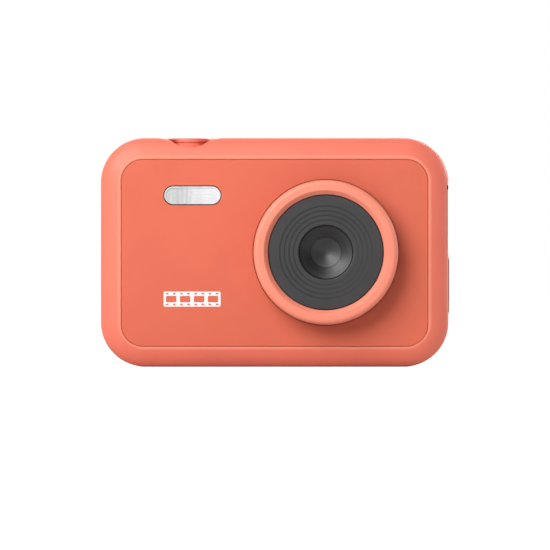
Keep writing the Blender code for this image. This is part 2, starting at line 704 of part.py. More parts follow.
def make_shutter():
    """The release with an ear on each side that holds it in, the plunger that it pushes, and the
    switch on its own small board."""
    place = Matrix.Translation((SHUTTER_X, SHUTTER_Y, 0.0))
    top = BODY_H - 0.2 * MM
    ear_top, ear_low = WELL_UNDER_Z - GAP, WELL_UNDER_Z - 1.3 * MM
    button = [
        (0.0, top - 0.45 * MM),
        (2.6 * MM, top - 0.33 * MM),
        (4.4 * MM, top - 0.05 * MM),
        (4.8 * MM, top),
        (5.2 * MM, top - 0.15 * MM),
        (SHUTTER_R, top - 0.6 * MM),
        (SHUTTER_R, ear_low),
        (1.2 * MM, ear_low),
        (1.2 * MM, 48.6 * MM),
        (0.0, 48.6 * MM),
    ]
    button = turned("shutter_button", button, place, "orange_shell", closed=False)
    ears = block("shutter_ears", (SHUTTER_X - 6.9 * MM, SHUTTER_Y - 2.2 * MM, ear_low + 0.1 * MM),
                 (SHUTTER_X + 6.9 * MM, SHUTTER_Y + 2.2 * MM, ear_top))
    core = rod("ears_core", (SHUTTER_X, SHUTTER_Y, ear_low + 0.05 * MM),
               (SHUTTER_X, SHUTTER_Y, ear_top + 0.05 * MM), SHUTTER_R - 0.3 * MM)
    ears = cut(ears, core)
    join(button, ears)
    rod("shutter_plunger", (SHUTTER_X, SHUTTER_Y, 47.2 * MM), (SHUTTER_X, SHUTTER_Y, 48.3 * MM),
        1.3 * MM, "black_plastic", sides=16)
    half = 3.0 * MM
    switch = block("shutter_switch", (SHUTTER_X - half, SHUTTER_Y - half, 46.1 * MM),
                   (SHUTTER_X + half, SHUTTER_Y + half, 47.7 * MM), "steel")
    socket = rod("switch_socket", (SHUTTER_X, SHUTTER_Y, 46.5 * MM),
                 (SHUTTER_X, SHUTTER_Y, 49.0 * MM), 1.6 * MM, sides=16)
    cut(switch, socket)
    block("shutter_board", (SHUTTER_X - 7.0 * MM, -3.5 * MM, 45.0 * MM),
          (SHUTTER_X + 7.0 * MM, 5.0 * MM, 45.8 * MM), "circuit_green")


def make_screen():
    plate("screen_window", SCREEN_X, MID_Z, SCREEN_W - 2 * GAP, SCREEN_H - 2 * GAP,
          BACK_Y - SCREEN_RECESS + SNUG, BACK_Y - 0.1 * MM, "screen_black",
          corner=SCREEN_R - GAP, steps=4)
    plate("lcd_glass", SCREEN_X, MID_Z, 44.6 * MM, 34.6 * MM, COVER_INNER_Y - 0.75 * MM,
          COVER_INNER_Y - SNUG, "screen_black")
    plate("lcd_backlight", SCREEN_X, MID_Z, 44.6 * MM, 34.6 * MM, COVER_INNER_Y - 1.85 * MM,
          COVER_INNER_Y - 0.9 * MM, "steel")


def make_round_key(name, x, z, radius):
    profile = [
        (0.0, KEY_FACE_Y),
        (radius - 0.35 * MM, KEY_FACE_Y - 0.05 * MM),
        (radius, KEY_FACE_Y - 0.35 * MM),
        (radius, KEY_FLANGE_Y),
        (radius + 0.7 * MM, KEY_FLANGE_Y),
        (radius + 0.7 * MM, KEY_FLANGE_Y - KEY_FLANGE_T),
        (KEY_STEM_R, KEY_FLANGE_Y - KEY_FLANGE_T),
        (KEY_STEM_R, KEY_STEM_Y),
        (0.0, KEY_STEM_Y),
    ]
    place = Matrix.Translation((x, 0.0, z)) @ FACING_BACK
    return turned(name, profile, place, "grey_key", steps=20, closed=False)


def make_pad_key(name, middle):
    """One of the four direction keys: a piece of a ring with a flange and a stem."""
    start, end = middle - PAD_HALF_ANGLE, middle + PAD_HALF_ANGLE
    key = prism(name, sector(PAD_X, MID_Z, PAD_INNER_R, PAD_R, start, end, 7), KEY_FLANGE_Y - GAP,
                KEY_FACE_Y, "grey_key")
    flange = prism(name + "_flange",
                   sector(PAD_X, MID_Z, 6.0 * MM, PAD_R + 1.1 * MM, start + 2, end - 2, 7),
                   KEY_FLANGE_Y - KEY_FLANGE_T, KEY_FLANGE_Y)
    x, z = pad_stem_place(middle)
    stem = rod(name + "_stem", (x, KEY_STEM_Y, z), (x, KEY_FLANGE_Y - 0.2 * MM, z), KEY_STEM_R,
               sides=12)
    return join(key, flange, stem)


def pad_stem_place(middle):
    angle = math.radians(middle)
    return PAD_X + KEY_STEM_REACH * math.cos(angle), MID_Z + KEY_STEM_REACH * math.sin(angle)


def key_centres():
    centres = [(PAD_X, MID_Z)]
    centres += [pad_stem_place(middle) for _, middle in PAD_KEYS]
    centres += [small_key_place(side, level) for _, side, level in SMALL_KEYS]
    return centres


def make_keys():
    for name, side, level in SMALL_KEYS:
        make_round_key(name, *small_key_place(side, level), KEY_R)
    for name, middle in PAD_KEYS:
        make_pad_key(name, middle)
    ok_key = [
        (0.0, KEY_FACE_Y - 0.15 * MM),
        (OK_R - 0.4 * MM, KEY_FACE_Y),
        (OK_R, KEY_FACE_Y - 0.3 * MM),
        (OK_R, OK_FLANGE_Y),
        (OK_FLANGE_R, OK_FLANGE_Y),
        (OK_FLANGE_R, OK_FLANGE_Y - OK_FLANGE_T),
        (KEY_STEM_R, OK_FLANGE_Y - OK_FLANGE_T),
        (KEY_STEM_R, KEY_STEM_Y),
        (0.0, KEY_STEM_Y),
    ]
    place = Matrix.Translation((PAD_X, 0.0, MID_Z)) @ FACING_BACK
    turned("ok_key", ok_key, place, "grey_key", steps=24, closed=False)
    sheet = plate("key_domes", PAD_X, MID_Z, 24.0 * MM, 34.5 * MM, 8.35 * MM, 8.6 * MM, "steel")
    domes = [
        rod(f"dome_{i}", (x, 8.4 * MM, z), (x, 8.85 * MM, z), 1.8 * MM, sides=12)
        for i, (x, z) in enumerate(key_centres())
    ]
    join(sheet, *domes)
    plate("keypad_board", PAD_X, MID_Z, 25.0 * MM, 35.0 * MM, 7.3 * MM, 8.1 * MM, "circuit_green",
          corner=1.0 * MM, steps=2)
    light_z = MID_Z + KEY_SPREAD_Z
    rod("status_light", (PAD_X, 9.0 * MM, light_z), (PAD_X, BACK_Y + 0.05 * MM, light_z), 0.8 * MM,
        "clear_plastic", sides=16)


def make_electronics():
    board = plate("main_board", 0.7 * MM, 26.3 * MM, 73.4 * MM, 32.6 * MM, BOARD_FRONT_Y,
                  BOARD_FRONT_Y + 1.0 * MM, "circuit_green", corner=1.5 * MM, steps=2)
    holes = [
        rod(f"board_hole_{i}", (x, BOARD_FRONT_Y - 1.0 * MM, z), (x, BOARD_FRONT_Y + 2.0 * MM, z),
            SCREW_R + GAP, sides=12)
        for i, (x, z) in enumerate(BOARD_SCREWS)
    ]
    cut(board, *holes)
    plate("main_chip", -8.5 * MM, 26.0 * MM, 11.0 * MM, 11.0 * MM, 2.3 * MM, BOARD_FRONT_Y - SNUG,
          "chip_black")
    plate("memory_chip", -22.0 * MM, 22.0 * MM, 6.0 * MM, 8.0 * MM, 2.6 * MM, BOARD_FRONT_Y - SNUG,
          "chip_black")
    plate("battery", 12.5 * MM, 26.75 * MM, 43.0 * MM, 31.5 * MM, 5.0 * MM, 8.7 * MM,
          "battery_wrap", corner=1.5 * MM, steps=3)
    block("speaker", (-39.3 * MM, -2.0 * MM, 10.5 * MM), (-36.6 * MM, 6.4 * MM, 22.5 * MM),
          "black_plastic")
    rod("microphone", (3.0 * MM, 2.8 * MM, 51.0 * MM), (3.0 * MM, 2.8 * MM, 52.5 * MM), 2.0 * MM,
        "steel", sides=16)


def make_sockets():
    usb_x = HALF_W - 2.3 * MM
    usb = block("usb_socket", (usb_x - 5.7 * MM, USB_LOW_Y, USB_Z - USB_W / 2),
                (usb_x, BOARD_FRONT_Y - SNUG, USB_Z + USB_W / 2), "steel")
    usb_mid_y = (USB_LOW_Y + BOARD_FRONT_Y - SNUG) / 2
    mouth = block("usb_mouth", (usb_x - 5.0 * MM, usb_mid_y - 0.95 * MM, USB_Z - 3.4 * MM),
                  (usb_x + 1.0 * MM, usb_mid_y + 0.95 * MM, USB_Z + 3.4 * MM))
    tongue = block("usb_tongue", (usb_x - 5.5 * MM, usb_mid_y - 0.1 * MM, USB_Z - 2.2 * MM),
                   (usb_x - 0.9 * MM, usb_mid_y + 0.5 * MM, USB_Z + 2.2 * MM))
    cut(usb, mouth)
    join(usb, tongue)
    card_x = HALF_W - 2.5 * MM
    card = block("card_socket", (card_x - 14.4 * MM, CARD_LOW_Y, CARD_Z - CARD_W / 2),
                 (card_x, BOARD_FRONT_Y - SNUG, CARD_Z + CARD_W / 2), "steel")
    slot_half = CARD_W / 2 - 0.35 * MM
    slot = block("card_slot", (card_x - 12.0 * MM, CARD_LOW_Y + 0.35 * MM, CARD_Z - slot_half),
                 (card_x + 1.0 * MM, CARD_LOW_Y + 1.15 * MM, CARD_Z + slot_half))
    cut(card, slot)


def make_doors():
    """Both doors are alike: a plate with a rounded knuckle at its lower end, round a fixed pin. The
    recessed upper one has a ridge for a fingernail at its top, and the lower one a notch."""
    for name, low_z, high_z, proud in DOORS:
        outer_x = HALF_W + proud
        pin_x, pin_z = door_pin_place(low_z, proud)
        y0, y1 = DOOR_LOW_Y + DOOR_GAP, DOOR_HIGH_Y - DOOR_GAP
        top_z = high_z - DOOR_GAP
        door = block(name, (outer_x - DOOR_T, y0, pin_z), (outer_x, y1, top_z), "black_rubber",
                     corner=0.55 * MM, axis=0, steps=2)
        knuckle = rod(name + "_knuckle", (pin_x, y0 + DOOR_GAP, pin_z), (pin_x, y1 - DOOR_GAP, pin_z),
                      KNUCKLE_R, sides=16)
        bore = rod(name + "_bore", (pin_x, y0 - 1.0 * MM, pin_z), (pin_x, y1 + 1.0 * MM, pin_z),
                   PIN_R + PIN_CLEARANCE, sides=12)
        join(door, knuckle)
        if proud < 0:
            ridge = block(name + "_ridge", (outer_x - 0.3 * MM, y0 + 0.1 * MM, top_z - 1.2 * MM),
                          (HALF_W - 0.05 * MM, y1 - 0.1 * MM, top_z - 0.05 * MM))
            join(door, ridge)
        else:
            middle_y = (y0 + y1) / 2
            notch = block(name + "_notch",
                          (outer_x - 0.6 * MM, middle_y - 1.6 * MM, top_z - 0.9 * MM),
                          (outer_x + 1.0 * MM, middle_y + 1.6 * MM, top_z + 1.0 * MM))
            cut(door, notch)
        cut(door, bore)
        rod(name + "_pin", (pin_x, DOOR_LOW_Y - 0.8 * MM, pin_z),
            (pin_x, DOOR_HIGH_Y + 0.8 * MM, pin_z), PIN_R, "steel", sides=12)


def make_tripod_bush():
    profile = [
        (BUSH_R, BUSH_HIGH_Z),
        (BUSH_R, BUSH_LOW_Z),
        (BUSH_HOLE_R, BUSH_LOW_Z),
        (BUSH_HOLE_R, BUSH_HIGH_Z - 1.2 * MM),
        (0.0, BUSH_HIGH_Z - 1.2 * MM),
    ]
    place = Matrix.Translation((0.0, BUSH_Y, 0.0))
    turned("tripod_bush", [(0.0, BUSH_HIGH_Z), *profile], place, "brass", steps=28, closed=False)


def make_screw(name, x, z, head_y, length):
    """A cross-head screw driven in from the back."""
    profile = [
        (0.0, head_y),
        (SCREW_HEAD_R, head_y),
        (SCREW_HEAD_R, head_y - 0.7 * MM),
        (SCREW_R, head_y - 0.7 * MM),
        (SCREW_R, head_y - length + 0.5 * MM),
        (0.0, head_y - length),
    ]
    place = Matrix.Translation((x, 0.0, z)) @ FACING_BACK
    screw = turned(name, profile, place, "steel", steps=12, closed=False)
    for suffix, long_side, short_side in (("a", 1.5 * MM, 0.35 * MM), ("b", 0.35 * MM, 1.5 * MM)):
        slot = plate(f"{name}_slot_{suffix}", x, z, long_side, short_side, head_y - 0.4 * MM,
                     head_y + 1.0 * MM)
        cut(screw, slot)


def make_screws():
    for index, (x, z) in enumerate(case_screw_places(), start=1):
        make_screw(f"case_screw_{index}", x, z, BACK_Y - 0.2 * MM, 8.0 * MM)
    for index, (x, z) in enumerate(BOARD_SCREWS, start=1):
        make_screw(f"board_screw_{index}", x, z, BOARD_FRONT_Y + 1.85 * MM, 4.6 * MM)


make_front_housing()
make_rear_cover()
make_front_panel()
make_lens_ring()
make_lens_bezel()
make_lens()
make_flash()
make_shutter()
make_screen()
make_keys()
make_electronics()
make_sockets()
make_doors()
make_tripod_bush()
make_screws()
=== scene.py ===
"""The look of the compact action camera: fine outer shells, lens, keys, doors and finishes round the
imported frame. Sizes are metres in the row frame, written as millimetres times MM."""

import math

import bmesh
import bpy
from mathutils import Matrix, Vector


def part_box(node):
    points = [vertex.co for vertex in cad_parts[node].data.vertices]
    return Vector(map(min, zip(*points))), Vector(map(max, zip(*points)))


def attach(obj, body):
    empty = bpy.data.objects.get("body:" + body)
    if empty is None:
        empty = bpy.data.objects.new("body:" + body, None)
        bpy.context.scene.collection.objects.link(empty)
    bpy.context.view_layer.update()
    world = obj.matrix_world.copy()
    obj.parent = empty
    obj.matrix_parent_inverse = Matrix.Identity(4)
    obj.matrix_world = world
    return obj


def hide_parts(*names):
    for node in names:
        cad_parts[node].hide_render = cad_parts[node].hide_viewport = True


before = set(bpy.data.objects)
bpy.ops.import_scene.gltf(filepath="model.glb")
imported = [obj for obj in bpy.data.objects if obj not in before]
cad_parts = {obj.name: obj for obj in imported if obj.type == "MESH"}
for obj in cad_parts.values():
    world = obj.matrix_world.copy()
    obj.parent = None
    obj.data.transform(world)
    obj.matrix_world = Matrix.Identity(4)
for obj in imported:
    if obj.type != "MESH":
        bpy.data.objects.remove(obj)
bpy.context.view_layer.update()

MM = 0.001


def mm(*sizes):
    """Several sizes in millimetres, as metres."""
    return [size * MM for size in sizes]


def centre(node):
    """The middle of a node's box."""
    return [(a + b) / 2 for a, b in zip(*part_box(node))]


# The frame's own measures.
HOUSING_LOW, HOUSING_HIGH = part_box("front_housing")
COVER_LOW, COVER_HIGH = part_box("rear_cover")
RING_LOW, RING_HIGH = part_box("lens_ring")
PANEL_LOW, PANEL_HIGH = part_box("front_panel")
SCREEN_LOW, SCREEN_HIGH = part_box("screen_window")
BUTTON_LOW, BUTTON_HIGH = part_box("shutter_button")
BUSH_LOW, BUSH_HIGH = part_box("tripod_bush")

LENS_X, _, LENS_Z = centre("lens_ring")
FLASH_X, _, FLASH_Z = centre("flash_window")
SHUTTER_X, SHUTTER_Y, _ = centre("shutter_button")
BUSH_X, BUSH_Y, _ = centre("tripod_bush")
PAD_X = centre("ok_key")[0]
SCREEN_X = centre("screen_window")[0]

HALF_W = HOUSING_HIGH.x
TOP_Z = HOUSING_HIGH.z
MID_Z = TOP_Z / 2
FRONT_Y = HOUSING_LOW.y
SEAM_Y = HOUSING_HIGH.y
BACK_Y = COVER_HIGH.y
PANEL_Y = PANEL_LOW.y
RING_Y = RING_LOW.y
RING_R = (RING_HIGH.x - RING_LOW.x) / 2
SHUTTER_R = (BUTTON_HIGH.y - BUTTON_LOW.y) / 2
KEY_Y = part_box("ok_key")[1].y

# Roundings and walls of the case, and the opening that the panel lies in.
CORNER_R = 10.6 * MM
FRONT_ROUND = 4.4 * MM
BACK_ROUND = 3.6 * MM
FRONT_SLOPE = 0.21
FRONT_DROP = 2.3 * MM
RIM_INSET = 4.85 * MM
RIM_ROUND = 0.12 * MM
SEAM_ROUND = 0.22 * MM
WALL = 1.8 * MM
COVER_Y = SEAM_Y + 0.3 * MM
RECESS_Y = PANEL_HIGH.y + 0.15 * MM
CAVITY_Y = RECESS_Y + 1.5 * MM
INNER_BACK_Y = BACK_Y - WALL
PANEL_TOP_INSET = 5.05 * MM
PANEL_LOW_INSET = 4.79 * MM
PANEL_R = 5.3 * MM
PANEL_GAP = 0.09 * MM

# The first step of the lens's disc and the distance between steps, and the flash's opening.
STEP_R = 11.0 * MM
STEP_PITCH = 1.093 * MM
FLASH_W = 13.85 * MM
FLASH_H = 4.7 * MM

# The shutter's well, and the lower side of the solid part round it.
WELL_R = 7.3 * MM
WELL_DEPTH = 2.4 * MM
UNDER_WELL_Z = TOP_Z - WELL_DEPTH - 1.6 * MM

# The doors' pockets, the flat round the upper one, and the floor that the sockets look through.
POCKET_LOW_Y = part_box("usb_door")[0].y - 0.25 * MM
POCKET_HIGH_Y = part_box("usb_door")[1].y + 0.25 * MM
SIDE_FLAT_X = HALF_W - 0.35 * MM
PORT_FLOOR_X = HALF_W - 3.35 * MM

# Strap eyelet, a tunnel behind the upper right corner.
EYELET_X = HALF_W - CORNER_R
EYELET_Z = TOP_Z - CORNER_R
EYELET_LOW_Y = -4.1 * MM
EYELET_HIGH_Y = 1.1 * MM

# Keys, with the angles of the direction keys as seen from the front, their flange under the cover
# and the end of their stem on its dome, and the part of the screen that lights up.
ROUND_KEYS = ("power", "mode", "playback", "menu")
PAD_KEYS = {"left": 0, "up": 90, "right": 180, "down": 270}
FLANGE_Y = INNER_BACK_Y - 0.35 * MM
STEM_Y = 9.35 * MM
DISPLAY_W = 40.8 * MM
DISPLAY_H = 30.6 * MM

CORNER_STEPS = 24
EDGE_STEPS = 10
NEARLY_ZERO = 0.01 * MM
INK = 0.03 * MM


# Outlines and skins


def arc(u, v, radius, start, end, steps):
    """Points on an arc, by angles in degrees from outwards towards up."""
    turn = [math.radians(start + (end - start) * i / steps) for i in range(steps + 1)]
    return [(u + radius * math.cos(a), v + radius * math.sin(a)) for a in turn]


def band(u, v, inner, outer, start, end, steps):
    """A piece of a flat ring, between two radii and two angles."""
    return arc(u, v, outer, start, end, steps) + arc(u, v, inner, end, start, steps)


def rounded_rect(u, v, width, height, radius, steps=CORNER_STEPS, edge_steps=1):
    """A function that gives the outline's (u, v) points, grown outwards by its argument."""

    def outline(grow=0.0):
        half_u, half_v, r = width / 2 + grow, height / 2 + grow, max(radius + grow, NEARLY_ZERO)
        corners = [arc(u + side_u * (half_u - r), v + side_v * (half_v - r), r,
                       start, start + 90, steps)
                   for side_u, side_v, start in ((1, 1, 0), (-1, 1, 90), (-1, -1, 180), (1, -1, 270))]
        points = []
        for corner, following in zip(corners, corners[1:] + corners[:1]):
            points += corner
            (u0, v0), (u1, v1) = corner[-1], following[0]
            for i in range(1, edge_steps):
                share = i / edge_steps
                points.append((u0 + (u1 - u0) * share, v0 + (v1 - v0) * share))
        return points

    return outline


def whole_turn(steps):
    return [2 * math.pi * i / steps for i in range(steps)]


def disc(u, v, radius, steps=96):
    def outline(grow=0.0):
        r = radius + grow
        return [(u + r * math.cos(a), v + r * math.sin(a)) for a in whole_turn(steps)]

    return outline


def flash_pill(inset=0.0):
    """The flash window's outline, moved inwards."""
    height = FLASH_H - 2 * inset
    return rounded_rect(FLASH_X, FLASH_Z, FLASH_W - 2 * inset, height, height / 2 - NEARLY_ZERO)


def across_y(u, v, depth):
    return Vector((u, depth, v))


def across_x(u, v, depth):
    return Vector((depth, u, v))


def across_z(u, v, depth):
    return Vector((u, v, depth))


def ring_of(points, depth, plane):
    return [plane(u, v, depth) for u, v in points]


def bend(radius, steps):
    """(run, rise) of a quarter round from (0, 0) to (radius, radius), tangent to the rise first."""
    turn = [math.pi / 2 * i / steps for i in range(steps + 1)]
    return [(radius * (1 - math.cos(a)), radius * math.sin(a)) for a in turn]


def placed(name, data):
    obj = bpy.data.objects.new(name, data)
    bpy.context.scene.collection.objects.link(obj)
    return obj


def meshed(name, bm):
    """An object from a finished bmesh."""
    mesh = bpy.data.meshes.new(name)
    bm.to_mesh(mesh)
    bm.free()
    return placed(name, mesh)


def skin(name, rings, loop=False):
    """A closed mesh through rings of equal count, capped at both ends or joined into a loop. A ring
    whose points all meet needs no cap."""
    bm = bmesh.new()
    rows = [[bm.verts.new(p) for p in ring] for ring in rings]
    following = rows[1:] + rows[:1] if loop else rows[1:]
    for a, b in zip(rows, following):
        for i in range(len(a)):
            j = (i + 1) % len(a)
            bm.faces.new((a[i], a[j], b[j], b[i]))
    if not loop:
        for row in (rows[0], rows[-1]):
            if any((vert.co - row[0].co).length > 1e-7 for vert in row):
                bm.faces.new(row)
    bmesh.ops.remove_doubles(bm, verts=bm.verts, dist=1e-7)
    bmesh.ops.recalc_face_normals(bm, faces=bm.faces)
    return meshed(name, bm)


def prism(name, points, plane, start, end):
    """A straight solid with the same outline at both depths."""
    return skin(name, [ring_of(points, start, plane), ring_of(points, end, plane)])


def cutter(outline, plane, inner, surface, fillet, beyond=2.0 * MM):
    """A hole's cutter, flared where it meets the surface so that the hole's rim is rounded."""
    out = 1 if surface > inner else -1
    rings = [ring_of(outline(), inner, plane)]
    for run, rise in bend(fillet, 5)[:-1]:
        rings.append(ring_of(outline(run), surface - out * (fillet - rise), plane))
    rings.append(ring_of(outline(fillet), surface + out * 0.01 * MM, plane))
    rings.append(ring_of(outline(fillet), surface + out * beyond, plane))
    return skin("cutter", rings)


def slab(name, outline, plane, back, face, edge):
    """A flat piece with a rounded rim on its face."""
    out = 1 if face > back else -1
    rings = [ring_of(outline(), back, plane)]
    for run, rise in bend(edge, 5):
        rings.append(ring_of(outline(-run), face - out * (edge - rise), plane))
    return skin(name, rings)


def turned(name, profile, place, steps=128, loop=False):
    """(radius, height) points turned about an axis, capped on it or closed into a loop."""
    return skin(name, [[place @ Vector((radius * math.cos(a), radius * math.sin(a), height))
                        for a in whole_turn(steps)] for radius, height in profile], loop)


def dished(reach, face, depth, power, steps):
    """The profile of a soft dish, from its middle out."""
    shares = [i / steps for i in range(steps + 1)]
    return [(reach * share, face - depth * (1 - share ** 2) ** power) for share in shares]


def rod(u, v, radius, plane, start, end, steps=32):
    return prism("rod", disc(u, v, radius, steps)(), plane, start, end)


def box_solid(low, high):
    mid = [(a + b) / 2 for a, b in zip(low, high)]
    outline = rounded_rect(mid[0], mid[1], high[0] - low[0], high[1] - low[1], NEARLY_ZERO, 1)
    return prism("box", outline(), across_z, low[2], high[2])


def settle(obj):
    """Applies the modifiers, and drops the objects that they used."""
    bpy.context.view_layer.update()
    graph = bpy.context.evaluated_depsgraph_get()
    made = bpy.data.meshes.new_from_object(obj.evaluated_get(graph))
    used = [m.object for m in obj.modifiers if m.type == "BOOLEAN"]
    obj.modifiers.clear()
    obj.data = made
    for other in used:
        bpy.data.objects.remove(other)
    return obj


def boolean(obj, operation, others):
    for other in others:
        modifier = obj.modifiers.new("cut", "BOOLEAN")
        modifier.operation = operation
        modifier.solver = "EXACT"
        modifier.object = other
    return settle(obj)


def cut(obj, *others):
    return boolean(obj, "DIFFERENCE", others)


def join(obj, *others):
    return boolean(obj, "UNION", others)


def bevelled(obj, width, steps, angle):
    modifier = obj.modifiers.new("bevel", "BEVEL")
    modifier.width = width
    modifier.segments = steps
    modifier.limit_method = "ANGLE"
    modifier.angle_limit = math.radians(angle)
    return settle(obj)


def merged(name, pieces):
    """One object from several separate solids."""
    bm = bmesh.new()
    for piece in pieces:
        bm.from_mesh(piece.data)
        bpy.data.objects.remove(piece)
    return meshed(name, bm)


def ink_shape(points, surface, plane=across_y, out=-1, thick=INK):
    """A thin raised print of a polygon that lies on a surface."""
    return prism("ink", points, plane, surface - out * thick, surface + out * thick * 0.6)


def dress(obj, finish, slot, *nodes, body="case"):
    """Gives a piece its finish and its body, and hides the CAD nodes that it stands for. The slot is not
    used. Edges over 32 degrees stay crisp, and the normals are weighted so that flat faces stay flat."""
    obj.data.materials.clear()
    obj.data.materials.append(FINISH[finish])
    obj.data.shade_smooth()
    obj.data.set_sharp_from_angle(angle=math.radians(32))
    weighted = obj.modifiers.new("weighted", "WEIGHTED_NORMAL")
    weighted.keep_sharp = True
    weighted.weight = 60
    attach(obj, body)
    if nodes:
        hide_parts(*nodes)


# Finishes


def add_node(tree, kind, inputs=None, **settings):
    """A new node. Each input takes a socket, which is linked, or a value."""
    made = tree.nodes.new(kind)
    for key, value in settings.items():
        setattr(made, key, value)
    for key, value in (inputs or {}).items():
        socket = made.inputs[key]
        if isinstance(value, bpy.types.NodeSocket):
            tree.links.new(value, socket)
        else:
            socket.default_value = (*value, 1.0) if socket.type == "RGBA" else value
    return made


def scaled(colour, factor):
    return tuple(min(1.0, c * factor) for c in colour)


class Finish:
    """A Principled material built from nodes in object coordinates, which are the row frame's."""

    def __init__(self, name, **constants):
        self.material = bpy.data.materials.new(name)
        self.material.use_nodes = True
        self.tree = self.material.node_tree
        self.shader = self.tree.nodes["Principled BSDF"]
        self.coords = self.node("ShaderNodeTexCoord").outputs["Object"]
        for key, value in constants.items():
            self.shader.inputs[key.replace("_", " ").title().replace("Ior", "IOR")].default_value = value

    def node(self, kind, inputs=None, **settings):
        return add_node(self.tree, kind, inputs, **settings)

    def set(self, name, socket):
        self.tree.links.new(socket, self.shader.inputs[name])

    def axis(self, name):
        return self.node("ShaderNodeSeparateXYZ", {0: self.coords}).outputs[name]

    def stretched(self, scale):
        return self.node("ShaderNodeMapping", {"Scale": scale, "Vector": self.coords}).outputs["Vector"]

    def noise(self, scale, detail=2.0, roughness=0.5, vector=None):
        return self.node("ShaderNodeTexNoise", {"Scale": scale, "Detail": detail, "Roughness": roughness,
                                                "Vector": vector or self.coords}).outputs["Fac"]

    def remap(self, value, low, high, from_low=0.0, from_high=1.0):
        limits = {"From Min": from_low, "From Max": from_high, "To Min": low, "To Max": high}
        return self.node("ShaderNodeMapRange", {"Value": value, **limits}).outputs["Result"]

    def maths(self, operation, a, b=0.0):
        return self.node("ShaderNodeMath", {0: a, 1: b}, operation=operation).outputs["Value"]

    def blend(self, factor, first, second):
        """A colour between two colours, on the mix node's colour sockets."""
        return self.node("ShaderNodeMix", {0: factor, 6: first, 7: second}, data_type="RGBA").outputs[2]

    def bump(self, height, distance, normal=None):
        inputs = {"Height": height, "Distance": distance, "Strength": 1.0}
        if normal:
            inputs["Normal"] = normal
        return self.node("ShaderNodeBump", inputs).outputs["Normal"]

    def mottled(self, pattern, colour, less, more, low=0.3, high=0.7):
        """A colour that drifts between two strengths of itself with a noise pattern."""
        return self.blend(self.remap(pattern, 0.0, 1.0, low, high), scaled(colour, less),
                          scaled(colour, more))

    def gloss(self, pattern, roughness, spread):
        """Small gloss changes to each side of a roughness."""
        self.set("Roughness", self.remap(pattern, roughness - spread, roughness + spread, 0.3, 0.7))


def moulded(name, colour, roughness, grain=0.006 * MM, tint=0.03, spread=0.08, specular=0.3,
            sheen=0.0, mark=None):
    """Moulded plastic: a fine spark-eroded grain, faint flow mottling and small gloss changes. A
    soft-touch coat is a little sheen. A mark changes the base colour in places."""
    f = Finish(name, specular_ior_level=specular, sheen_weight=sheen, sheen_roughness=0.22)
    base = f.mottled(f.noise(90.0, 3.0, 0.55), colour, 1 - tint, 1 + tint)
    f.set("Base Color", mark(f, base) if mark else base)
    f.gloss(f.noise(500.0), roughness, spread / 2)
    broad = f.bump(f.noise(2600.0, 2.0, 0.6), grain)
    f.set("Normal", f.bump(f.noise(5200.0, 1.0), grain / 2, broad))
    return f.material


SHELL_COLOUR = (0.93, 0.208, 0.134)
PANEL_COLOUR = (0.77, 0.159, 0.089)
RING_COLOUR = (1.0, 0.29, 0.19)
CHARCOAL = (0.054, 0.054, 0.0555)


def painted_rim_highlight(f, base):
    """The flat rim round the panel, painted lighter: a painted highlight along the rim."""
    near = f.remap(f.axis("Y"), 0.85, 0.0, FRONT_Y + 0.03 * MM, FRONT_Y + 0.1 * MM)
    return f.blend(near, base, (0.98, 0.3, 0.19))


def painted_wall_shade(f, base):
    """The lens ring's outer wall, with painted shade: darker towards the gap it stands in."""
    deep = f.remap(f.axis("Y"), 0.0, 1.0, RING_Y + 1.15 * MM, RING_Y + 2.2 * MM)
    return f.blend(deep, base, (0.42, 0.11, 0.07))


def painted_skirt_shade(f, base):
    """The release's skirt, with painted shade: darker where it turns away into the gap round it, more
    at the left end than the right, and darker towards the top of the cap.
    """
    below = f.remap(f.axis("Z"), 1.0, 0.0, TOP_Z - 0.5 * MM, TOP_Z - 0.2 * MM)
    left = f.remap(f.axis("X"), 1.0, 0.0, SHUTTER_X - 3.8 * MM, SHUTTER_X - 2.4 * MM)
    right = f.remap(f.axis("X"), 0.0, 0.4, SHUTTER_X + 1.4 * MM, SHUTTER_X + 3.6 * MM)
    dark = f.maths("MULTIPLY", f.maths("MAXIMUM", left, right), below)
    deep = f.blend(dark, base, (0.3, 0.05, 0.028))
    edge = f.remap(f.axis("Z"), 0.0, 0.55, TOP_Z - 0.42 * MM, TOP_Z - 0.12 * MM)
    return f.blend(edge, deep, (0.42, 0.12, 0.09))


def disc_with_step_shade(name, colour):
    """The stepped disc's plastic, with painted shade in the corner of each step."""
    f = Finish(name, specular_ior_level=0.3)
    plain = f.mottled(f.noise(110.0, 3.0, 0.55), colour, 0.92, 1.08)
    squares = []
    for axis, middle in (("X", LENS_X), ("Z", LENS_Z)):
        off = f.maths("ABSOLUTE", f.maths("SUBTRACT", f.axis(axis), middle))
        squares.append(f.maths("POWER", off, 2.0))
    radius = f.maths("SQRT", f.maths("ADD", *squares))
    turns = f.maths("DIVIDE", f.maths("SUBTRACT", radius, STEP_R), STEP_PITCH)
    wave = f.maths("COSINE", f.maths("MULTIPLY", turns, 2 * math.pi))
    stepped = f.maths("MULTIPLY", f.maths("LESS_THAN", radius, STEP_R + STEP_PITCH / 2),
                      f.maths("GREATER_THAN", radius, STEP_R - 3.5 * STEP_PITCH))
    dark = f.maths("MULTIPLY", f.remap(wave, 0.0, 1.0, 0.1, 1.0), stepped)
    f.set("Base Color", f.blend(dark, plain, scaled(colour, 0.6)))
    f.gloss(f.noise(500.0), 0.5, 0.04)
    f.set("Normal", f.bump(f.noise(5200.0, 1.0), 0.002 * MM, f.bump(f.noise(2600.0), 0.004 * MM)))
    return f.material


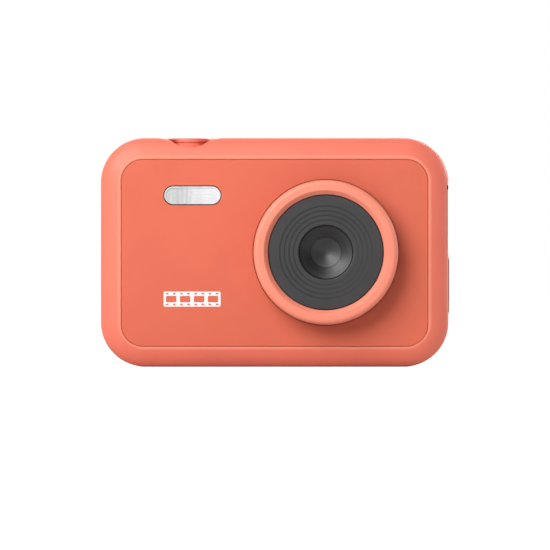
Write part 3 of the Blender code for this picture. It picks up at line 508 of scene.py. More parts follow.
def lens_finish(name, colour, roughness):
    """Coated glass over a black cell: near-black with a broad soft sheen."""
    f = Finish(name, ior=1.52, specular_ior_level=0.75)
    f.set("Base Color", f.mottled(f.noise(260.0, 2.0), colour, 0.85, 1.15, 0.35, 0.65))
    f.gloss(f.noise(700.0), roughness, 0.02)
    f.set("Normal", f.bump(f.noise(900.0, 1.0), 0.0006 * MM))
    return f.material


def pearl_finish(name, roughness, depth, level):
    """Pearly clear plastic: white with faint lilac, grey and mint drifts, paler to the right."""
    f = Finish(name, specular_ior_level=0.6, coat_weight=0.4, coat_roughness=0.06)
    drift = f.remap(f.noise(330.0, 2.0, 0.6, f.stretched((1.0, 1.0, 0.45))), 0.0, 1.0, 0.42, 0.58)
    lilac = (level - depth * 0.5, level - depth * 0.6, level)
    mint = (level - depth, level + 0.01, level - depth * 0.3)
    pale = f.remap(f.noise(520.0, 1.0, 0.5, f.stretched((1.0, 1.0, 0.2))), 0.0, 1.0, 0.4, 0.62)
    bright = min(0.95, level + 0.12)
    streaky = f.blend(pale, f.blend(drift, lilac, mint), (bright, bright, bright))
    along = f.remap(f.axis("X"), 0.0, 0.7, FLASH_X - 5.0 * MM, FLASH_X + 4.0 * MM)
    f.set("Base Color", f.blend(along, streaky, (0.88, 0.88, 0.91)))
    f.gloss(f.noise(800.0), roughness, 0.03)
    return f.material


def metal_finish(name, colour, roughness, grain=(1.0, 1.0, 14.0), wear=0.12):
    f = Finish(name, metallic=1.0)
    streaks = f.noise(900.0, 3.0, 0.6, f.stretched(grain))
    f.set("Base Color", f.mottled(streaks, colour, 1 - wear, 1.0))
    f.gloss(streaks, roughness, 0.07)
    f.set("Normal", f.bump(streaks, 0.0015 * MM))
    return f.material


def circuit_finish(name):
    """Solder mask over copper: tracks and pads show as lighter cells."""
    f = Finish(name, roughness=0.35, specular_ior_level=0.5, coat_weight=0.3)
    cells = f.node("ShaderNodeTexVoronoi", {"Vector": f.coords, "Scale": 620.0, "Randomness": 0.35},
                   feature="F1", distance="CHEBYCHEV")
    tracks = f.maths("LESS_THAN", cells.outputs["Distance"], 0.17)
    mask = f.blend(f.noise(1500.0), (0.012, 0.09, 0.035), (0.02, 0.13, 0.05))
    f.set("Base Color", f.blend(tracks, mask, (0.55, 0.42, 0.2)))
    f.set("Normal", f.bump(tracks, 0.01 * MM))
    return f.material


def screen_finish(name):
    """Black glass with a slightly lighter display area inside a printed border."""
    f = Finish(name, ior=1.5, specular_ior_level=0.5, coat_weight=0.5, coat_roughness=0.03)
    within = []
    for axis, middle, width in (("X", SCREEN_X, DISPLAY_W), ("Z", MID_Z, DISPLAY_H)):
        off = f.maths("ABSOLUTE", f.maths("SUBTRACT", f.axis(axis), middle))
        within.append(f.maths("LESS_THAN", off, width / 2))
    area = f.blend(f.noise(60.0), (0.016, 0.018, 0.022), (0.02, 0.022, 0.027))
    f.set("Base Color", f.blend(f.maths("MULTIPLY", *within), (0.004, 0.004, 0.0045), area))
    f.set("Roughness", f.remap(f.noise(300.0, 3.0), 0.06, 0.13, 0.35, 0.65))
    return f.material


FINISH = {
    "shell": moulded("coral_shell", SHELL_COLOUR, 0.44, specular=0.4, sheen=0.55),
    # The front's flat rim carries a painted highlight.
    "front": moulded("coral_front", SHELL_COLOUR, 0.44, specular=0.4, sheen=0.55, mark=painted_rim_highlight),
    # The release's skirt carries painted shade.
    "release": moulded("coral_release", SHELL_COLOUR, 0.44, specular=0.4, mark=painted_skirt_shade),
    "panel": moulded("coral_panel", PANEL_COLOUR, 0.55, grain=0.005 * MM),
    # The ring's outer wall carries painted shade.
    "ring": moulded("coral_ring", RING_COLOUR, 0.5, specular=0.5, mark=painted_wall_shade),
    "key": moulded("coral_key", scaled(SHELL_COLOUR, 0.94), 0.42, grain=0.003 * MM),
    # The disc carries painted shade in the corner of each step.
    "disc": disc_with_step_shade("disc_plastic", CHARCOAL),
    "charcoal": moulded("charcoal_plastic", CHARCOAL, 0.5, grain=0.004 * MM, tint=0.1),
    "mouth": moulded("lens_mouth", (0.005, 0.005, 0.0051), 0.44, grain=0.001 * MM, tint=0.08,
                     spread=0.04, specular=0.75),
    "rubber": moulded("black_rubber", (0.02, 0.02, 0.021), 0.7, grain=0.008 * MM, tint=0.15,
                      specular=0.1),
    "ink": moulded("white_ink", (0.93, 0.93, 0.92), 0.5, grain=0.002 * MM, tint=0.02),
    "grey_ink": moulded("grey_ink", (0.16, 0.16, 0.165), 0.55, grain=0.002 * MM, tint=0.06),
    "chip": moulded("chip_epoxy", (0.02, 0.02, 0.022), 0.45, grain=0.004 * MM, tint=0.2),
    "light": moulded("status_lens", (0.62, 0.78, 0.66), 0.18, grain=0.0005 * MM, tint=0.04),
    "front_glass": lens_finish("front_glass", (0.02, 0.02, 0.0205), 0.46),
    "glass": lens_finish("inner_glass", (0.04, 0.045, 0.06), 0.08),
    "pearl": pearl_finish("pearl_rim", 0.2, 0.03, 0.6),
    "prism": pearl_finish("pearl_prism", 0.25, 0.06, 0.57),
    "screen": screen_finish("screen_black"),
    "mirror": metal_finish("mirror_cup", (0.86, 0.86, 0.87), 0.16, wear=0.05),
    "steel": metal_finish("plated_steel", (0.62, 0.61, 0.6), 0.32),
    "brass": metal_finish("plated_brass", (0.78, 0.66, 0.42), 0.3, (1.0, 1.0, 6.0)),
    "foil": metal_finish("battery_foil", (0.55, 0.57, 0.6), 0.42, (3.0, 3.0, 3.0)),
    "circuit": circuit_finish("solder_mask"),
}


# The case


def case_outline(inset):
    """The points of the case's outline, moved inwards."""
    return rounded_rect(0.0, MID_Z, 2 * (HALF_W - inset), TOP_Z - 2 * inset, CORNER_R - inset,
                        CORNER_STEPS, EDGE_STEPS)()


def case_ring(inset, y):
    return ring_of(case_outline(inset), y, across_y)


def panel_outline(grow=0.0):
    """The points of the outline of the panel's opening, grown outwards."""
    return rounded_rect(0.0, MID_Z - (PANEL_TOP_INSET - PANEL_LOW_INSET) / 2,
                        2 * (HALF_W - RIM_INSET), TOP_Z - PANEL_TOP_INSET - PANEL_LOW_INSET,
                        PANEL_R, CORNER_STEPS, EDGE_STEPS)(grow)


def front_drop(across):
    """Depth of the front edge below the flat rim, from 0 at the rim to 1 at the side wall. It leaves
    the rim at a slight angle, so that the rim stays a crisp line."""
    return FRONT_SLOPE * FRONT_ROUND * across + FRONT_DROP * (1 - math.sqrt(1 - across ** 2))


def screw_places():
    return [(x, z) for x, _, z in (centre(f"case_screw_{i}") for i in range(1, 5))]


def door_span(node):
    """The lower and the upper edge of a door's pocket, from its door."""
    low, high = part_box(node)
    return low.z - 0.3 * MM, high.z + 0.25 * MM


def eyelet_solid(inner, outer, start, end, beyond):
    """A piece of a ring round the corner's centre, which reaches past the tunnel's two ends."""
    return prism("eyelet", band(EYELET_X, EYELET_Z, inner, outer, start, end, 16), across_y,
                 EYELET_LOW_Y - beyond, EYELET_HIGH_Y + beyond)


def eyelet_mouth(start, end):
    """A mouth from the tunnel out through the corner, flared where it meets the outside."""
    middle = math.radians((start + end) / 2)
    front, flare = EYELET_LOW_Y - 0.6 * MM, 0.14 * MM
    mid_y = (front + EYELET_HIGH_Y) / 2
    shape = rounded_rect(0.0, 0.0, math.radians(end - start) * CORNER_R, EYELET_HIGH_Y - front,
                         0.6 * MM, 6)
    levels = [(7.5 * MM, 0.0)] + [(CORNER_R - flare + rise, run) for run, rise in bend(flare, 4)]
    levels.append((CORNER_R + 2.0 * MM, flare * 1.3))
    rings = []
    for reach, grow in levels:
        ring = []
        for along, y in shape(grow):
            angle = middle + along / CORNER_R
            ring.append(Vector((EYELET_X + reach * math.cos(angle), mid_y + y,
                                EYELET_Z + reach * math.sin(angle))))
        rings.append(ring)
    return skin("mouth", rings)


def housing_cavity():
    """The hollow, less the solid parts round the ports, the well, the bush and the eyelet."""
    inner_round = 3.0 * MM
    rings = [case_ring(WALL + inner_round - rise, CAVITY_Y + run) for run, rise in bend(inner_round, 8)]
    rings.append(case_ring(WALL, SEAM_Y + 1.0 * MM))
    return cut(
        skin("cavity", rings),
        box_solid((PORT_FLOOR_X, -2.6 * MM, 10.7 * MM), (HALF_W, 7.4 * MM, 44.8 * MM)),
        rod(SHUTTER_X, SHUTTER_Y, WELL_R + 1.4 * MM, across_z, UNDER_WELL_Z, TOP_Z, 64),
        rod(BUSH_X, BUSH_Y, 5.4 * MM, across_z, -1.0 * MM, 9.6 * MM, 48),
        eyelet_solid(4.8 * MM, 9.6 * MM, -10, 100, 1.2 * MM),
    )


def shell_top(y):
    """Height of the case's top surface at a depth, over its front rounding."""
    low, high = 0.0, 1.0
    for _ in range(30):
        middle = (low + high) / 2
        low, high = (middle, high) if FRONT_Y + front_drop(middle) < y else (low, middle)
    return TOP_Z - FRONT_ROUND * (1 - low)


def well_cutter():
    """The shutter's round well, with a shallow scoop round it that is widest at its two ends."""
    turn, floor, floor_round, scoop = whole_turn(128), TOP_Z - WELL_DEPTH, 0.5 * MM, 0.34 * MM

    def at(reach, a, z):
        return Vector((SHUTTER_X + reach * math.cos(a), SHUTTER_Y + reach * math.sin(a), z))

    rings = [[at(WELL_R - floor_round + rise, a, floor + run) for a in turn]
             for run, rise in bend(floor_round, 5)]
    for share in (0.0, 0.3, 0.6, 0.9, 1.1):
        ring = []
        for a in turn:
            reach = WELL_R + share * (0.5 + 1.6 * math.cos(a) ** 2) * MM
            top = shell_top(SHUTTER_Y + reach * math.sin(a)) - scoop * (1 - share)
            ring.append(at(reach, a, max(top, floor + floor_round + 0.01 * MM)))
        rings.append(ring)
    rings.append([at(WELL_R + (0.56 + 1.8 * math.cos(a) ** 2) * MM, a, TOP_Z + 3.0 * MM) for a in turn])
    return skin("well", rings)


def side_flat_cutter():
    """The shallow flat round the card door, with eased ends."""
    low_z, high_z = door_span("card_door")
    ease, beyond = 0.35 * MM, HALF_W + 1.0 * MM
    profile = [(beyond, low_z - ease), (HALF_W, low_z - ease), (SIDE_FLAT_X, low_z),
               (SIDE_FLAT_X, high_z), (HALF_W, high_z + ease), (beyond, high_z + ease)]
    return prism("flat", profile, across_y, FRONT_Y - 1.0 * MM, POCKET_HIGH_Y + 0.5 * MM)


def pocket_cutters():
    """The two doors' pockets, and the openings in their floor for the sockets."""
    made = []
    for node, surface in (("card_door", SIDE_FLAT_X), ("usb_door", HALF_W)):
        low_z, high_z = door_span(node)
        shape = rounded_rect((POCKET_LOW_Y + POCKET_HIGH_Y) / 2, (low_z + high_z) / 2,
                             POCKET_HIGH_Y - POCKET_LOW_Y, high_z - low_z, 0.8 * MM, 8)
        made.append(cutter(shape, across_x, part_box(node)[0].x - 0.3 * MM, surface, 0.12 * MM))
    gap = 0.3 * MM
    for node in ("usb_socket", "card_socket"):
        low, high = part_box(node)
        _, y, z = centre(node)
        shape = rounded_rect(y, z, high.y - low.y + 2 * gap, high.z - low.z + 2 * gap, 0.4 * MM, 4)
        made.append(cutter(shape, across_x, PORT_FLOOR_X - 1.0 * MM, HALF_W - 1.8 * MM, 0.1 * MM,
                           1.5 * MM))
    return made


def speaker_cutters():
    """A row of five sound holes in the left end."""
    y, lowest, pitch, radius = mm(2.2, 12.1, 2.2, 0.6)
    return [cutter(disc(y, lowest + pitch * i, radius, 24), across_x, -HALF_W + 3.0 * MM, -HALF_W,
                   0.15 * MM) for i in range(5)]


def make_housing():
    rings = [ring_of(panel_outline(), RECESS_Y, across_y)]
    for run, rise in bend(RIM_ROUND, 4):
        rings.append(ring_of(panel_outline(run), FRONT_Y + RIM_ROUND - rise, across_y))
    steps = 30
    for i in range(steps + 1):
        across = math.sin(math.pi / 2 * i / steps)
        rings.append(case_ring(FRONT_ROUND * (1 - across), FRONT_Y + front_drop(across)))
    rings.append(case_ring(0.0, FRONT_Y + FRONT_ROUND + 3.0 * MM))
    rings += [case_ring(run, SEAM_Y - SEAM_ROUND + rise) for run, rise in bend(SEAM_ROUND, 4)]
    shell = skin("housing_shell", rings)
    microphone_hole = disc(3.0 * MM, 2.8 * MM, 0.5 * MM, 24)
    cut(
        shell,
        housing_cavity(),
        rod(LENS_X, LENS_Z, 10.0 * MM, across_y, RECESS_Y - 1.0 * MM, 0.0, 96),
        cutter(flash_pill(), across_y, CAVITY_Y + 1.0 * MM, RECESS_Y, 0.05 * MM),
        well_cutter(),
        rod(SHUTTER_X, SHUTTER_Y, SHUTTER_R + 0.3 * MM, across_z, TOP_Z - 9.0 * MM, TOP_Z - 1.0 * MM, 96),
        cutter(disc(BUSH_X, BUSH_Y, 4.4 * MM), across_z, 8.6 * MM, 0.0, 0.3 * MM),
        cutter(microphone_hole, across_z, TOP_Z - 3.0 * MM, TOP_Z, 0.15 * MM),
        eyelet_solid(6.2 * MM, 8.6 * MM, 14, 74, 0.001 * MM),
        eyelet_mouth(54, 71),
        eyelet_mouth(17, 37),
        side_flat_cutter(),
        *pocket_cutters(),
        *speaker_cutters(),
    )
    dress(shell, "front", "shell", "front_housing")


def make_rear_cover():
    rings = [case_ring(run, COVER_Y + SEAM_ROUND - rise) for run, rise in reversed(bend(SEAM_ROUND, 4))]
    rings += [case_ring(run, BACK_Y - BACK_ROUND + rise) for run, rise in bend(BACK_ROUND, 20)]
    shell = skin("cover_shell", rings)
    lip_inset = WALL + 0.3 * MM
    lip = prism("lip", case_outline(lip_inset), across_y, COVER_LOW.y, INNER_BACK_Y + 0.5 * MM)
    hollow = prism("hollow", case_outline(lip_inset + 0.8 * MM), across_y, COVER_LOW.y - 1.0 * MM,
                   INNER_BACK_Y)
    cut(hollow, *[rod(x, z, 2.2 * MM, across_y, COVER_Y, BACK_Y) for x, z in screw_places()])
    well_half = 9.2 * MM
    lcd_x, lcd_z = mm(21.0, 16.0)
    holes = [
        box_solid((SHUTTER_X - well_half, SEAM_Y - 2.0 * MM, TOP_Z - 8.0 * MM),
                  (SHUTTER_X + well_half, 9.8 * MM, TOP_Z - WALL)),
        hollow,
        cutter(rounded_rect(SCREEN_X, MID_Z, 46.2 * MM, 36.2 * MM, 2.5 * MM), across_y,
               SCREEN_LOW.y - 0.15 * MM, BACK_Y, 0.25 * MM),
        box_solid((SCREEN_X - lcd_x, COVER_Y, MID_Z - lcd_z),
                  (SCREEN_X + lcd_x, BACK_Y - 0.5 * MM, MID_Z + lcd_z)),
        cutter(disc(PAD_X, MID_Z, 9.9 * MM, 128), across_y, COVER_Y, BACK_Y, 0.3 * MM),
    ]
    round_holes = [(body + "_key", 2.9 * MM, 64, 0.25 * MM) for body in ROUND_KEYS]
    for node, radius, steps, fillet in round_holes + [("status_light", 1.0 * MM, 32, 0.12 * MM)]:
        x, _, z = centre(node)
        holes.append(cutter(disc(x, z, radius, steps), across_y, COVER_Y, BACK_Y, fillet))
    for x, z in screw_places():
        holes.append(cutter(disc(x, z, 1.6 * MM, 48), across_y, BACK_Y - 1.1 * MM, BACK_Y, 0.2 * MM))
        holes.append(rod(x, z, 0.95 * MM, across_y, COVER_LOW.y - 1.0 * MM, BACK_Y - 0.5 * MM, 24))
    join(shell, lip)
    cut(shell, *holes)
    dress(shell, "shell", "shell", "rear_cover")


def make_panel():
    panel = slab("panel_face", lambda grow=0.0: panel_outline(grow - PANEL_GAP), across_y,
                 PANEL_HIGH.y, PANEL_Y, 0.14 * MM)
    behind = PANEL_HIGH.y + 1.0 * MM
    cut(
        panel,
        cutter(disc(LENS_X, LENS_Z, RING_R + 0.18 * MM, 192), across_y, behind, PANEL_Y, 0.05 * MM),
        cutter(flash_pill(), across_y, behind, PANEL_Y, 0.12 * MM),
    )
    dress(panel, "panel", "panel", "front_panel")


# Lens

LENS_PLACE = Matrix.Translation((LENS_X, 0.0, LENS_Z)) @ Matrix.Rotation(math.pi / 2, 4, "X")


def lens_part(name, profile, finish, slot, node, steps=192, loop=True):
    """A part turned about the lens axis, from (radius, y) points."""
    towards_front = [(radius, -y) for radius, y in profile]
    dress(turned(name, towards_front, LENS_PLACE, steps, loop), finish, slot, node)


def make_ring():
    """The raised ring: rounded outer edge, flat face, and a cone down to the disc."""
    edge, lip = mm(1.2, 0.45)
    face_in, bore = 14.55 * MM, 13.8 * MM
    profile = [(RING_R, PANEL_HIGH.y)]
    profile += arc(RING_R - edge, RING_Y + edge, edge, 0, -90, 14)
    profile += arc(face_in + lip, RING_Y + lip, lip, -90, -150, 6)
    profile += [(bore + 0.1 * MM, RING_Y + 0.84 * MM), (bore, RING_Y + 1.12 * MM),
                (bore, PANEL_HIGH.y)]
    lens_part("ring_trim", profile, "ring", "shell", "lens_ring")


def make_bezel():
    """The charcoal disc: a flat outer band, four soft steps down, and a lip at the bore."""
    face = RING_Y + 1.15 * MM
    width, drop, outer = mm(0.56, 0.055, 13.66)

    def level(radius):
        """The disc's height there: each soft step takes it one drop further back."""
        total = 0.0
        for i in range(4):
            share = min(1.0, max(0.0, (STEP_R - STEP_PITCH * i + width / 2 - radius) / width))
            total += drop * share * share * (3 - 2 * share)
        return face + total

    profile = [(outer, PANEL_HIGH.y), (outer, face + 0.22 * MM), (outer - 0.06 * MM, face + 0.08 * MM),
               (outer - 0.2 * MM, face)]
    count, start, end = 90, 11.6 * MM, 6.95 * MM
    for i in range(count + 1):
        radius = start + (end - start) * i / count
        profile.append((radius, level(radius)))
    lip, bore, hub, under = 0.4 * MM, 6.44 * MM, 12.4 * MM, face + 2.8 * MM
    profile += arc(bore + lip, level(end) + lip, lip, -90, -180, 7)[1:]
    profile += [(bore, under), (hub, under), (hub, PANEL_HIGH.y)]
    lens_part("bezel_disc", profile, "disc", "black_plastic", "lens_bezel")


def make_barrel():
    """The barrel: a thin front rim, then cones that steepen down to the front lens and its seat."""
    low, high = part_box("lens_barrel")
    front, back = low.y, high.y
    flange, shoulder = 7.0 * MM, front + 1.3 * MM
    rim, outer = mm(0.08, 6.36)
    lip, seat, bore, rear = 3.6 * MM, 3.9 * MM, 3.2 * MM, 3.7 * MM
    seat_y, rear_y = mm(-5.4, -3.3)
    profile = [(flange, back), (flange, shoulder), (outer, shoulder)]
    profile += arc(outer - rim, front + rim, rim, 0, -90, 4)
    profile += [(6.24 * MM, front + 0.005 * MM), (6.2 * MM, front + 0.03 * MM)]
    step = front + 0.03 * MM
    for start, end, tilt in ((6.2, 5.3, 18), (5.3, 5.2, 22), (5.2, 3.64, 27)):
        for i in range(1, 7):
            step += (start - end) / 6 * math.tan(math.radians(tilt)) * MM
            profile.append(((start + (end - start) * i / 6) * MM, step))
    profile += [(lip, step + 0.05 * MM), (lip, step + 0.12 * MM), (seat, step + 0.12 * MM),
                (seat, seat_y), (bore, seat_y), (bore, rear_y), (rear, rear_y), (rear, back)]
    lens_part("barrel_mouth", profile, "mouth", "black_plastic", "lens_barrel", 160)


def make_front_lens():
    """The front element: a dark coated bowl, an even cone that rounds off at the middle."""
    low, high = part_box("front_lens")
    reach, rim_y, middle, tilt = 3.78 * MM, low.y, 1.5 * MM, math.tan(math.radians(22))
    profile = [(0.0, high.y), (reach, high.y), (reach, rim_y + 0.05 * MM), (reach - 0.05 * MM, rim_y)]
    edge, steps = reach - 0.12 * MM, 30
    for i in range(steps + 1):
        radius = edge * (1 - i / steps)
        if radius > middle:
            depth = (edge - radius) * tilt
        else:
            depth = (edge - middle) * tilt + middle * tilt / 2 * (1 - (radius / middle) ** 2)
        profile.append((radius, rim_y + 0.01 * MM + depth))
    lens_part("lens_bowl", profile, "front_glass", "lens_glass", "front_lens", 128, loop=False)


# Flash, shutter and print on the front


def ripple(value):
    """A triangle wave between 0 and 1 with a period of 1."""
    return abs((value % 1.0) * 2.0 - 1.0)


def prism_depth(x, z):
    """The prisms' depth: upright ones on the left, level ones on the right."""
    upright = min(1.0, max(0.0, (FLASH_X + 0.4 * MM - x) / (0.8 * MM)))
    depth = upright * ripple((x - FLASH_X) / (1.1 * MM)) * 0.05 * MM
    return depth + (1 - upright) * ripple((z - FLASH_Z) / (0.8 * MM)) * 0.06 * MM


def make_flash():
    """A pearly window: a smooth rim round a field of fine prisms."""
    face = PANEL_Y + 0.04 * MM
    rim_inset = 0.21 * MM
    window = slab("flash_rim", flash_pill(rim_inset), across_y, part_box("flash_window")[0].y + 2.2 * MM,
                  face, 0.16 * MM)
    field = flash_pill(rim_inset + 0.375 * MM)
    cut(window, cutter(field, across_y, face + 0.45 * MM, face, 0.08 * MM))
    dress(window, "pearl", "clear_plastic", "flash_window")

    columns, rows = 220, 56
    half_w, half_h = FLASH_W / 2 - rim_inset, FLASH_H / 2 - rim_inset
    bm = bmesh.new()
    grid = []
    for j in range(rows + 1):
        z = FLASH_Z - half_h + 2 * half_h * j / rows
        xs = [FLASH_X - half_w + 2 * half_w * i / columns for i in range(columns + 1)]
        grid.append([bm.verts.new((x, face + 0.16 * MM + prism_depth(x, z), z)) for x in xs])
    faces = []
    for lower, upper in zip(grid, grid[1:]):
        for i in range(columns):
            faces.append(bm.faces.new((lower[i], lower[i + 1], upper[i + 1], upper[i])))
    made = bmesh.ops.extrude_face_region(bm, geom=faces)
    for vert in made["geom"]:
        if isinstance(vert, bmesh.types.BMVert):
            vert.co.y = face + 0.6 * MM
    bmesh.ops.recalc_face_normals(bm, faces=bm.faces)
    prisms = meshed("flash_prisms", bm)
    bound = prism("bound", field(-0.005 * MM), across_y, face - 1.0 * MM, face + 2.0 * MM)
    boolean(prisms, "INTERSECT", [bound])
    dress(prisms, "prism", "clear_plastic")


def make_shutter():
    """The release: dished top, soft rim, and the ears and boss that sit out of sight."""
    top, low, under = BUTTON_HIGH.z + 0.14 * MM, BUTTON_LOW.z, UNDER_WELL_Z
    rim, dish, dish_r = mm(0.32, 0.42, 4.6)
    boss, wall = 1.2 * MM, SHUTTER_R - 0.4 * MM
    ear_reach, ear_half = mm(6.9, 2.2)
    profile = dished(dish_r, top, dish, 1.4, 8)
    profile += arc(SHUTTER_R - rim, top - rim, rim, 88, 0, 9)
    profile += [(SHUTTER_R, top - 0.8 * MM), (SHUTTER_R - 0.06 * MM, top - 0.9 * MM),
                (SHUTTER_R - 0.36 * MM, top - 0.98 * MM), (wall, top - 1.1 * MM), (wall, under),
                (SHUTTER_R, under - 0.1 * MM), (SHUTTER_R, under - 1.3 * MM), (boss, under - 1.3 * MM),
                (boss, low), (0.0, low)]
    button = turned("shutter_cap", profile, Matrix.Translation((SHUTTER_X, SHUTTER_Y, 0.0)))
    join(button, box_solid((SHUTTER_X - ear_reach, SHUTTER_Y - ear_half, under - 1.2 * MM),
                           (SHUTTER_X + ear_reach, SHUTTER_Y + ear_half, under - 0.3 * MM)))
    dress(button, "release", "shell", "shutter_button", body="shutter")


def make_print():
    """A small white film strip, printed on the panel: frames between two perforated edges."""
    left, right, low, high = mm(-26.5, -12.9, 14.35, 17.95)
    middle_u, middle_v = (left + right) / 2, (low + high) / 2
    strip = ink_shape(rounded_rect(middle_u, middle_v, right - left, high - low, 0.35 * MM, 6)(),
                      PANEL_Y)
    frames, perforations = 4, 8
    pitch = (right - left - 0.3 * MM) / frames
    windows = []
    for i in range(frames):
        u = left + 0.15 * MM + pitch * (i + 0.5)
        windows.append(rounded_rect(u, middle_v, pitch - 0.85 * MM, 1.5 * MM, 0.25 * MM, 4))
    for i in range(perforations):
        u = left + (right - left) * (i + 0.5) / perforations
        for v in (low + 0.52 * MM, high - 0.52 * MM):
            windows.append(rounded_rect(u, v, 0.62 * MM, 0.38 * MM, 0.1 * MM, 3))
    cut(strip, merged("holes", [ink_shape(shape(), PANEL_Y, thick=1.0 * MM) for shape in windows]))
    strip.name = "film_strip_print"
    dress(strip, "ink", "clear_plastic")


# Side doors and tripod bush


def make_door(body, node):
    """A soft rubbery door: rounded plate with a knuckle round its pin and a place for a nail. It
    gives the door's outer face and its middle."""
    low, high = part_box(node)
    _, y, z = centre(node)
    pin_x, _, pin_z = centre(node + "_pin")
    width, height = high.y - low.y, high.z - low.z
    knuckle, overlap = mm(0.75, 0.3)
    outer = pin_x + knuckle
    inner = outer - 1.4 * MM
    side = [(outer, high.z), (inner, high.z)] + arc(pin_x, pin_z, knuckle, 180, 360, 14)
    door = prism(node + "_cover", side, across_y, low.y, high.y)
    face = rounded_rect(y, z, width, height, 0.7 * MM, 8)
    boolean(door, "INTERSECT", [prism("trim", face(), across_x, inner - 2.0 * MM, outer + 2.0 * MM)])
    bevelled(door, 0.16 * MM, 3, 40)
    if node == "card_door":
        ridge = rounded_rect(y, high.z - 0.52 * MM, width - 0.3 * MM, 1.0 * MM, 0.3 * MM, 5)
        join(door, slab("ridge", ridge, across_x, outer - overlap, HALF_W, 0.08 * MM))
    else:
        pad = rounded_rect(y, z + 0.35 * MM, width - 0.3 * MM, height - 1.1 * MM, 0.6 * MM, 8)
        join(door, slab("pad", pad, across_x, outer - overlap, outer + 0.1 * MM, 0.08 * MM))
        outer += 0.1 * MM
        notch = rounded_rect(y, high.z, 3.2 * MM, 1.8 * MM, 0.6 * MM, 6)
        cut(door, cutter(notch, across_x, outer - 0.55 * MM, outer, 0.15 * MM))
    cut(door, rod(pin_x, pin_z, 0.52 * MM, across_y, low.y - 1.0 * MM, high.y + 1.0 * MM, 24))
    dress(door, "rubber", "black_rubber", node, body=body)
    return outer, y, z


def make_doors():
    outer, u, v = make_door("card_cover", "card_door")

    def raised(points, thick=INK):
        return ink_shape(points, outer, across_x, 1, thick)

    # A memory card pictogram with its clipped corner, raised on the door.
    edge = [(-1.3, -1.7), (1.3, -1.7), (1.3, 1.7), (-0.5, 1.7), (-1.3, 0.9)]
    hole = [(-1.0, -1.4), (1.0, -1.4), (1.0, 1.4), (-0.38, 1.4), (-1.0, 0.78)]
    mark, middle = (raised([(u + a * MM, v + b * MM) for a, b in shape], thick)
                    for shape, thick in ((edge, INK), (hole, 1.0 * MM)))
    cut(mark, middle)
    mark.name = "card_pictogram"
    dress(mark, "grey_ink", "black_rubber", body="card_cover")

    # A cable plug pictogram: shell, two contacts, grip and a lead.
    outer, u, v = make_door("usb_cover", "usb_door")
    v -= 0.3 * MM
    shell = raised(rounded_rect(u, v + 0.9 * MM, 1.7 * MM, 1.3 * MM, 0.15 * MM, 3)())
    cut(shell, *[raised(rounded_rect(u + side * 0.38 * MM, v + 1.0 * MM, 0.36 * MM, 0.4 * MM,
                                     0.05 * MM, 2)(), 1.0 * MM) for side in (-1, 1)])
    grip = raised(rounded_rect(u, v - 0.75 * MM, 2.5 * MM, 1.8 * MM, 0.45 * MM, 5)())
    lead = raised(rounded_rect(u, v - 2.1 * MM, 0.5 * MM, 0.7 * MM, 0.05 * MM, 2)())
    mark = merged("plug_pictogram", [shell, grip, lead])
    dress(mark, "grey_ink", "black_rubber", body="usb_cover")


def make_bush():
    """The tripod bush, with a real helical quarter-inch thread."""
    pitch, root, crest = mm(1.27, 3.17, 2.6)
    radius = (BUSH_HIGH.x - BUSH_LOW.x) / 2
    low, high = BUSH_LOW.z, BUSH_HIGH.z
    deep = high - 1.2 * MM

    def ring(z, r, height=0.0):
        """A ring of the bush. With a height, the thread's crest stands in from it at one side."""
        points = []
        for a in whole_turn(96):
            wave = ripple(z / pitch - a / (2 * math.pi))
            reach = r - height * min(1.0, max(0.0, wave * 1.3 - 0.12))
            points.append(Vector((BUSH_X + reach * math.cos(a), BUSH_Y + reach * math.sin(a), z)))
        return points

    rings = [ring(high, radius), ring(low + 0.2 * MM, radius), ring(low, radius - 0.2 * MM),
             ring(low, root + 0.3 * MM), ring(low + 0.25 * MM, root + 0.05 * MM)]
    count = 74
    for i in range(1, count):
        fade = min(1.0, i / 6, (count - i) / 4)
        rings.append(ring(low + 0.25 * MM + (deep - low - 0.4 * MM) * i / count, root,
                          (root - crest) * fade))
    rings += [ring(deep, root), ring(deep, 0.0)]
    dress(skin("threaded_bush", rings), "brass", "brass", "tripod_bush")


# Back: screen, keys, light and screws


def back_place(x, z):
    return Matrix.Translation((x, 0.0, z)) @ Matrix.Rotation(-math.pi / 2, 4, "X")


def make_screen():
    width, height = SCREEN_HIGH.x - SCREEN_LOW.x, SCREEN_HIGH.z - SCREEN_LOW.z
    outline = rounded_rect(SCREEN_X, MID_Z, width, height, 2.2 * MM)
    glass = slab("screen_glass", outline, across_y, SCREEN_LOW.y, SCREEN_HIGH.y, 0.18 * MM)
    dress(glass, "screen", "screen", "screen_window")


def key_profile(radius, flange, rim=0.42 * MM, dish=0.0, thick=0.6 * MM):
    """A round key: its face, dished if that is asked for, its flange, and the stem on its dome."""
    profile = dished(radius - rim - 0.2 * MM, KEY_Y, dish, 1.5, 7) if dish else [(0.0, KEY_Y)]
    profile += arc(radius - rim, KEY_Y - rim, rim, 90, 0, 8)
    reach, stem = radius + 0.7 * MM, 1.0 * MM
    return profile + [(radius, flange), (reach, flange), (reach, flange - thick),
                      (stem, flange - thick), (stem, STEM_Y), (0.0, STEM_Y)]


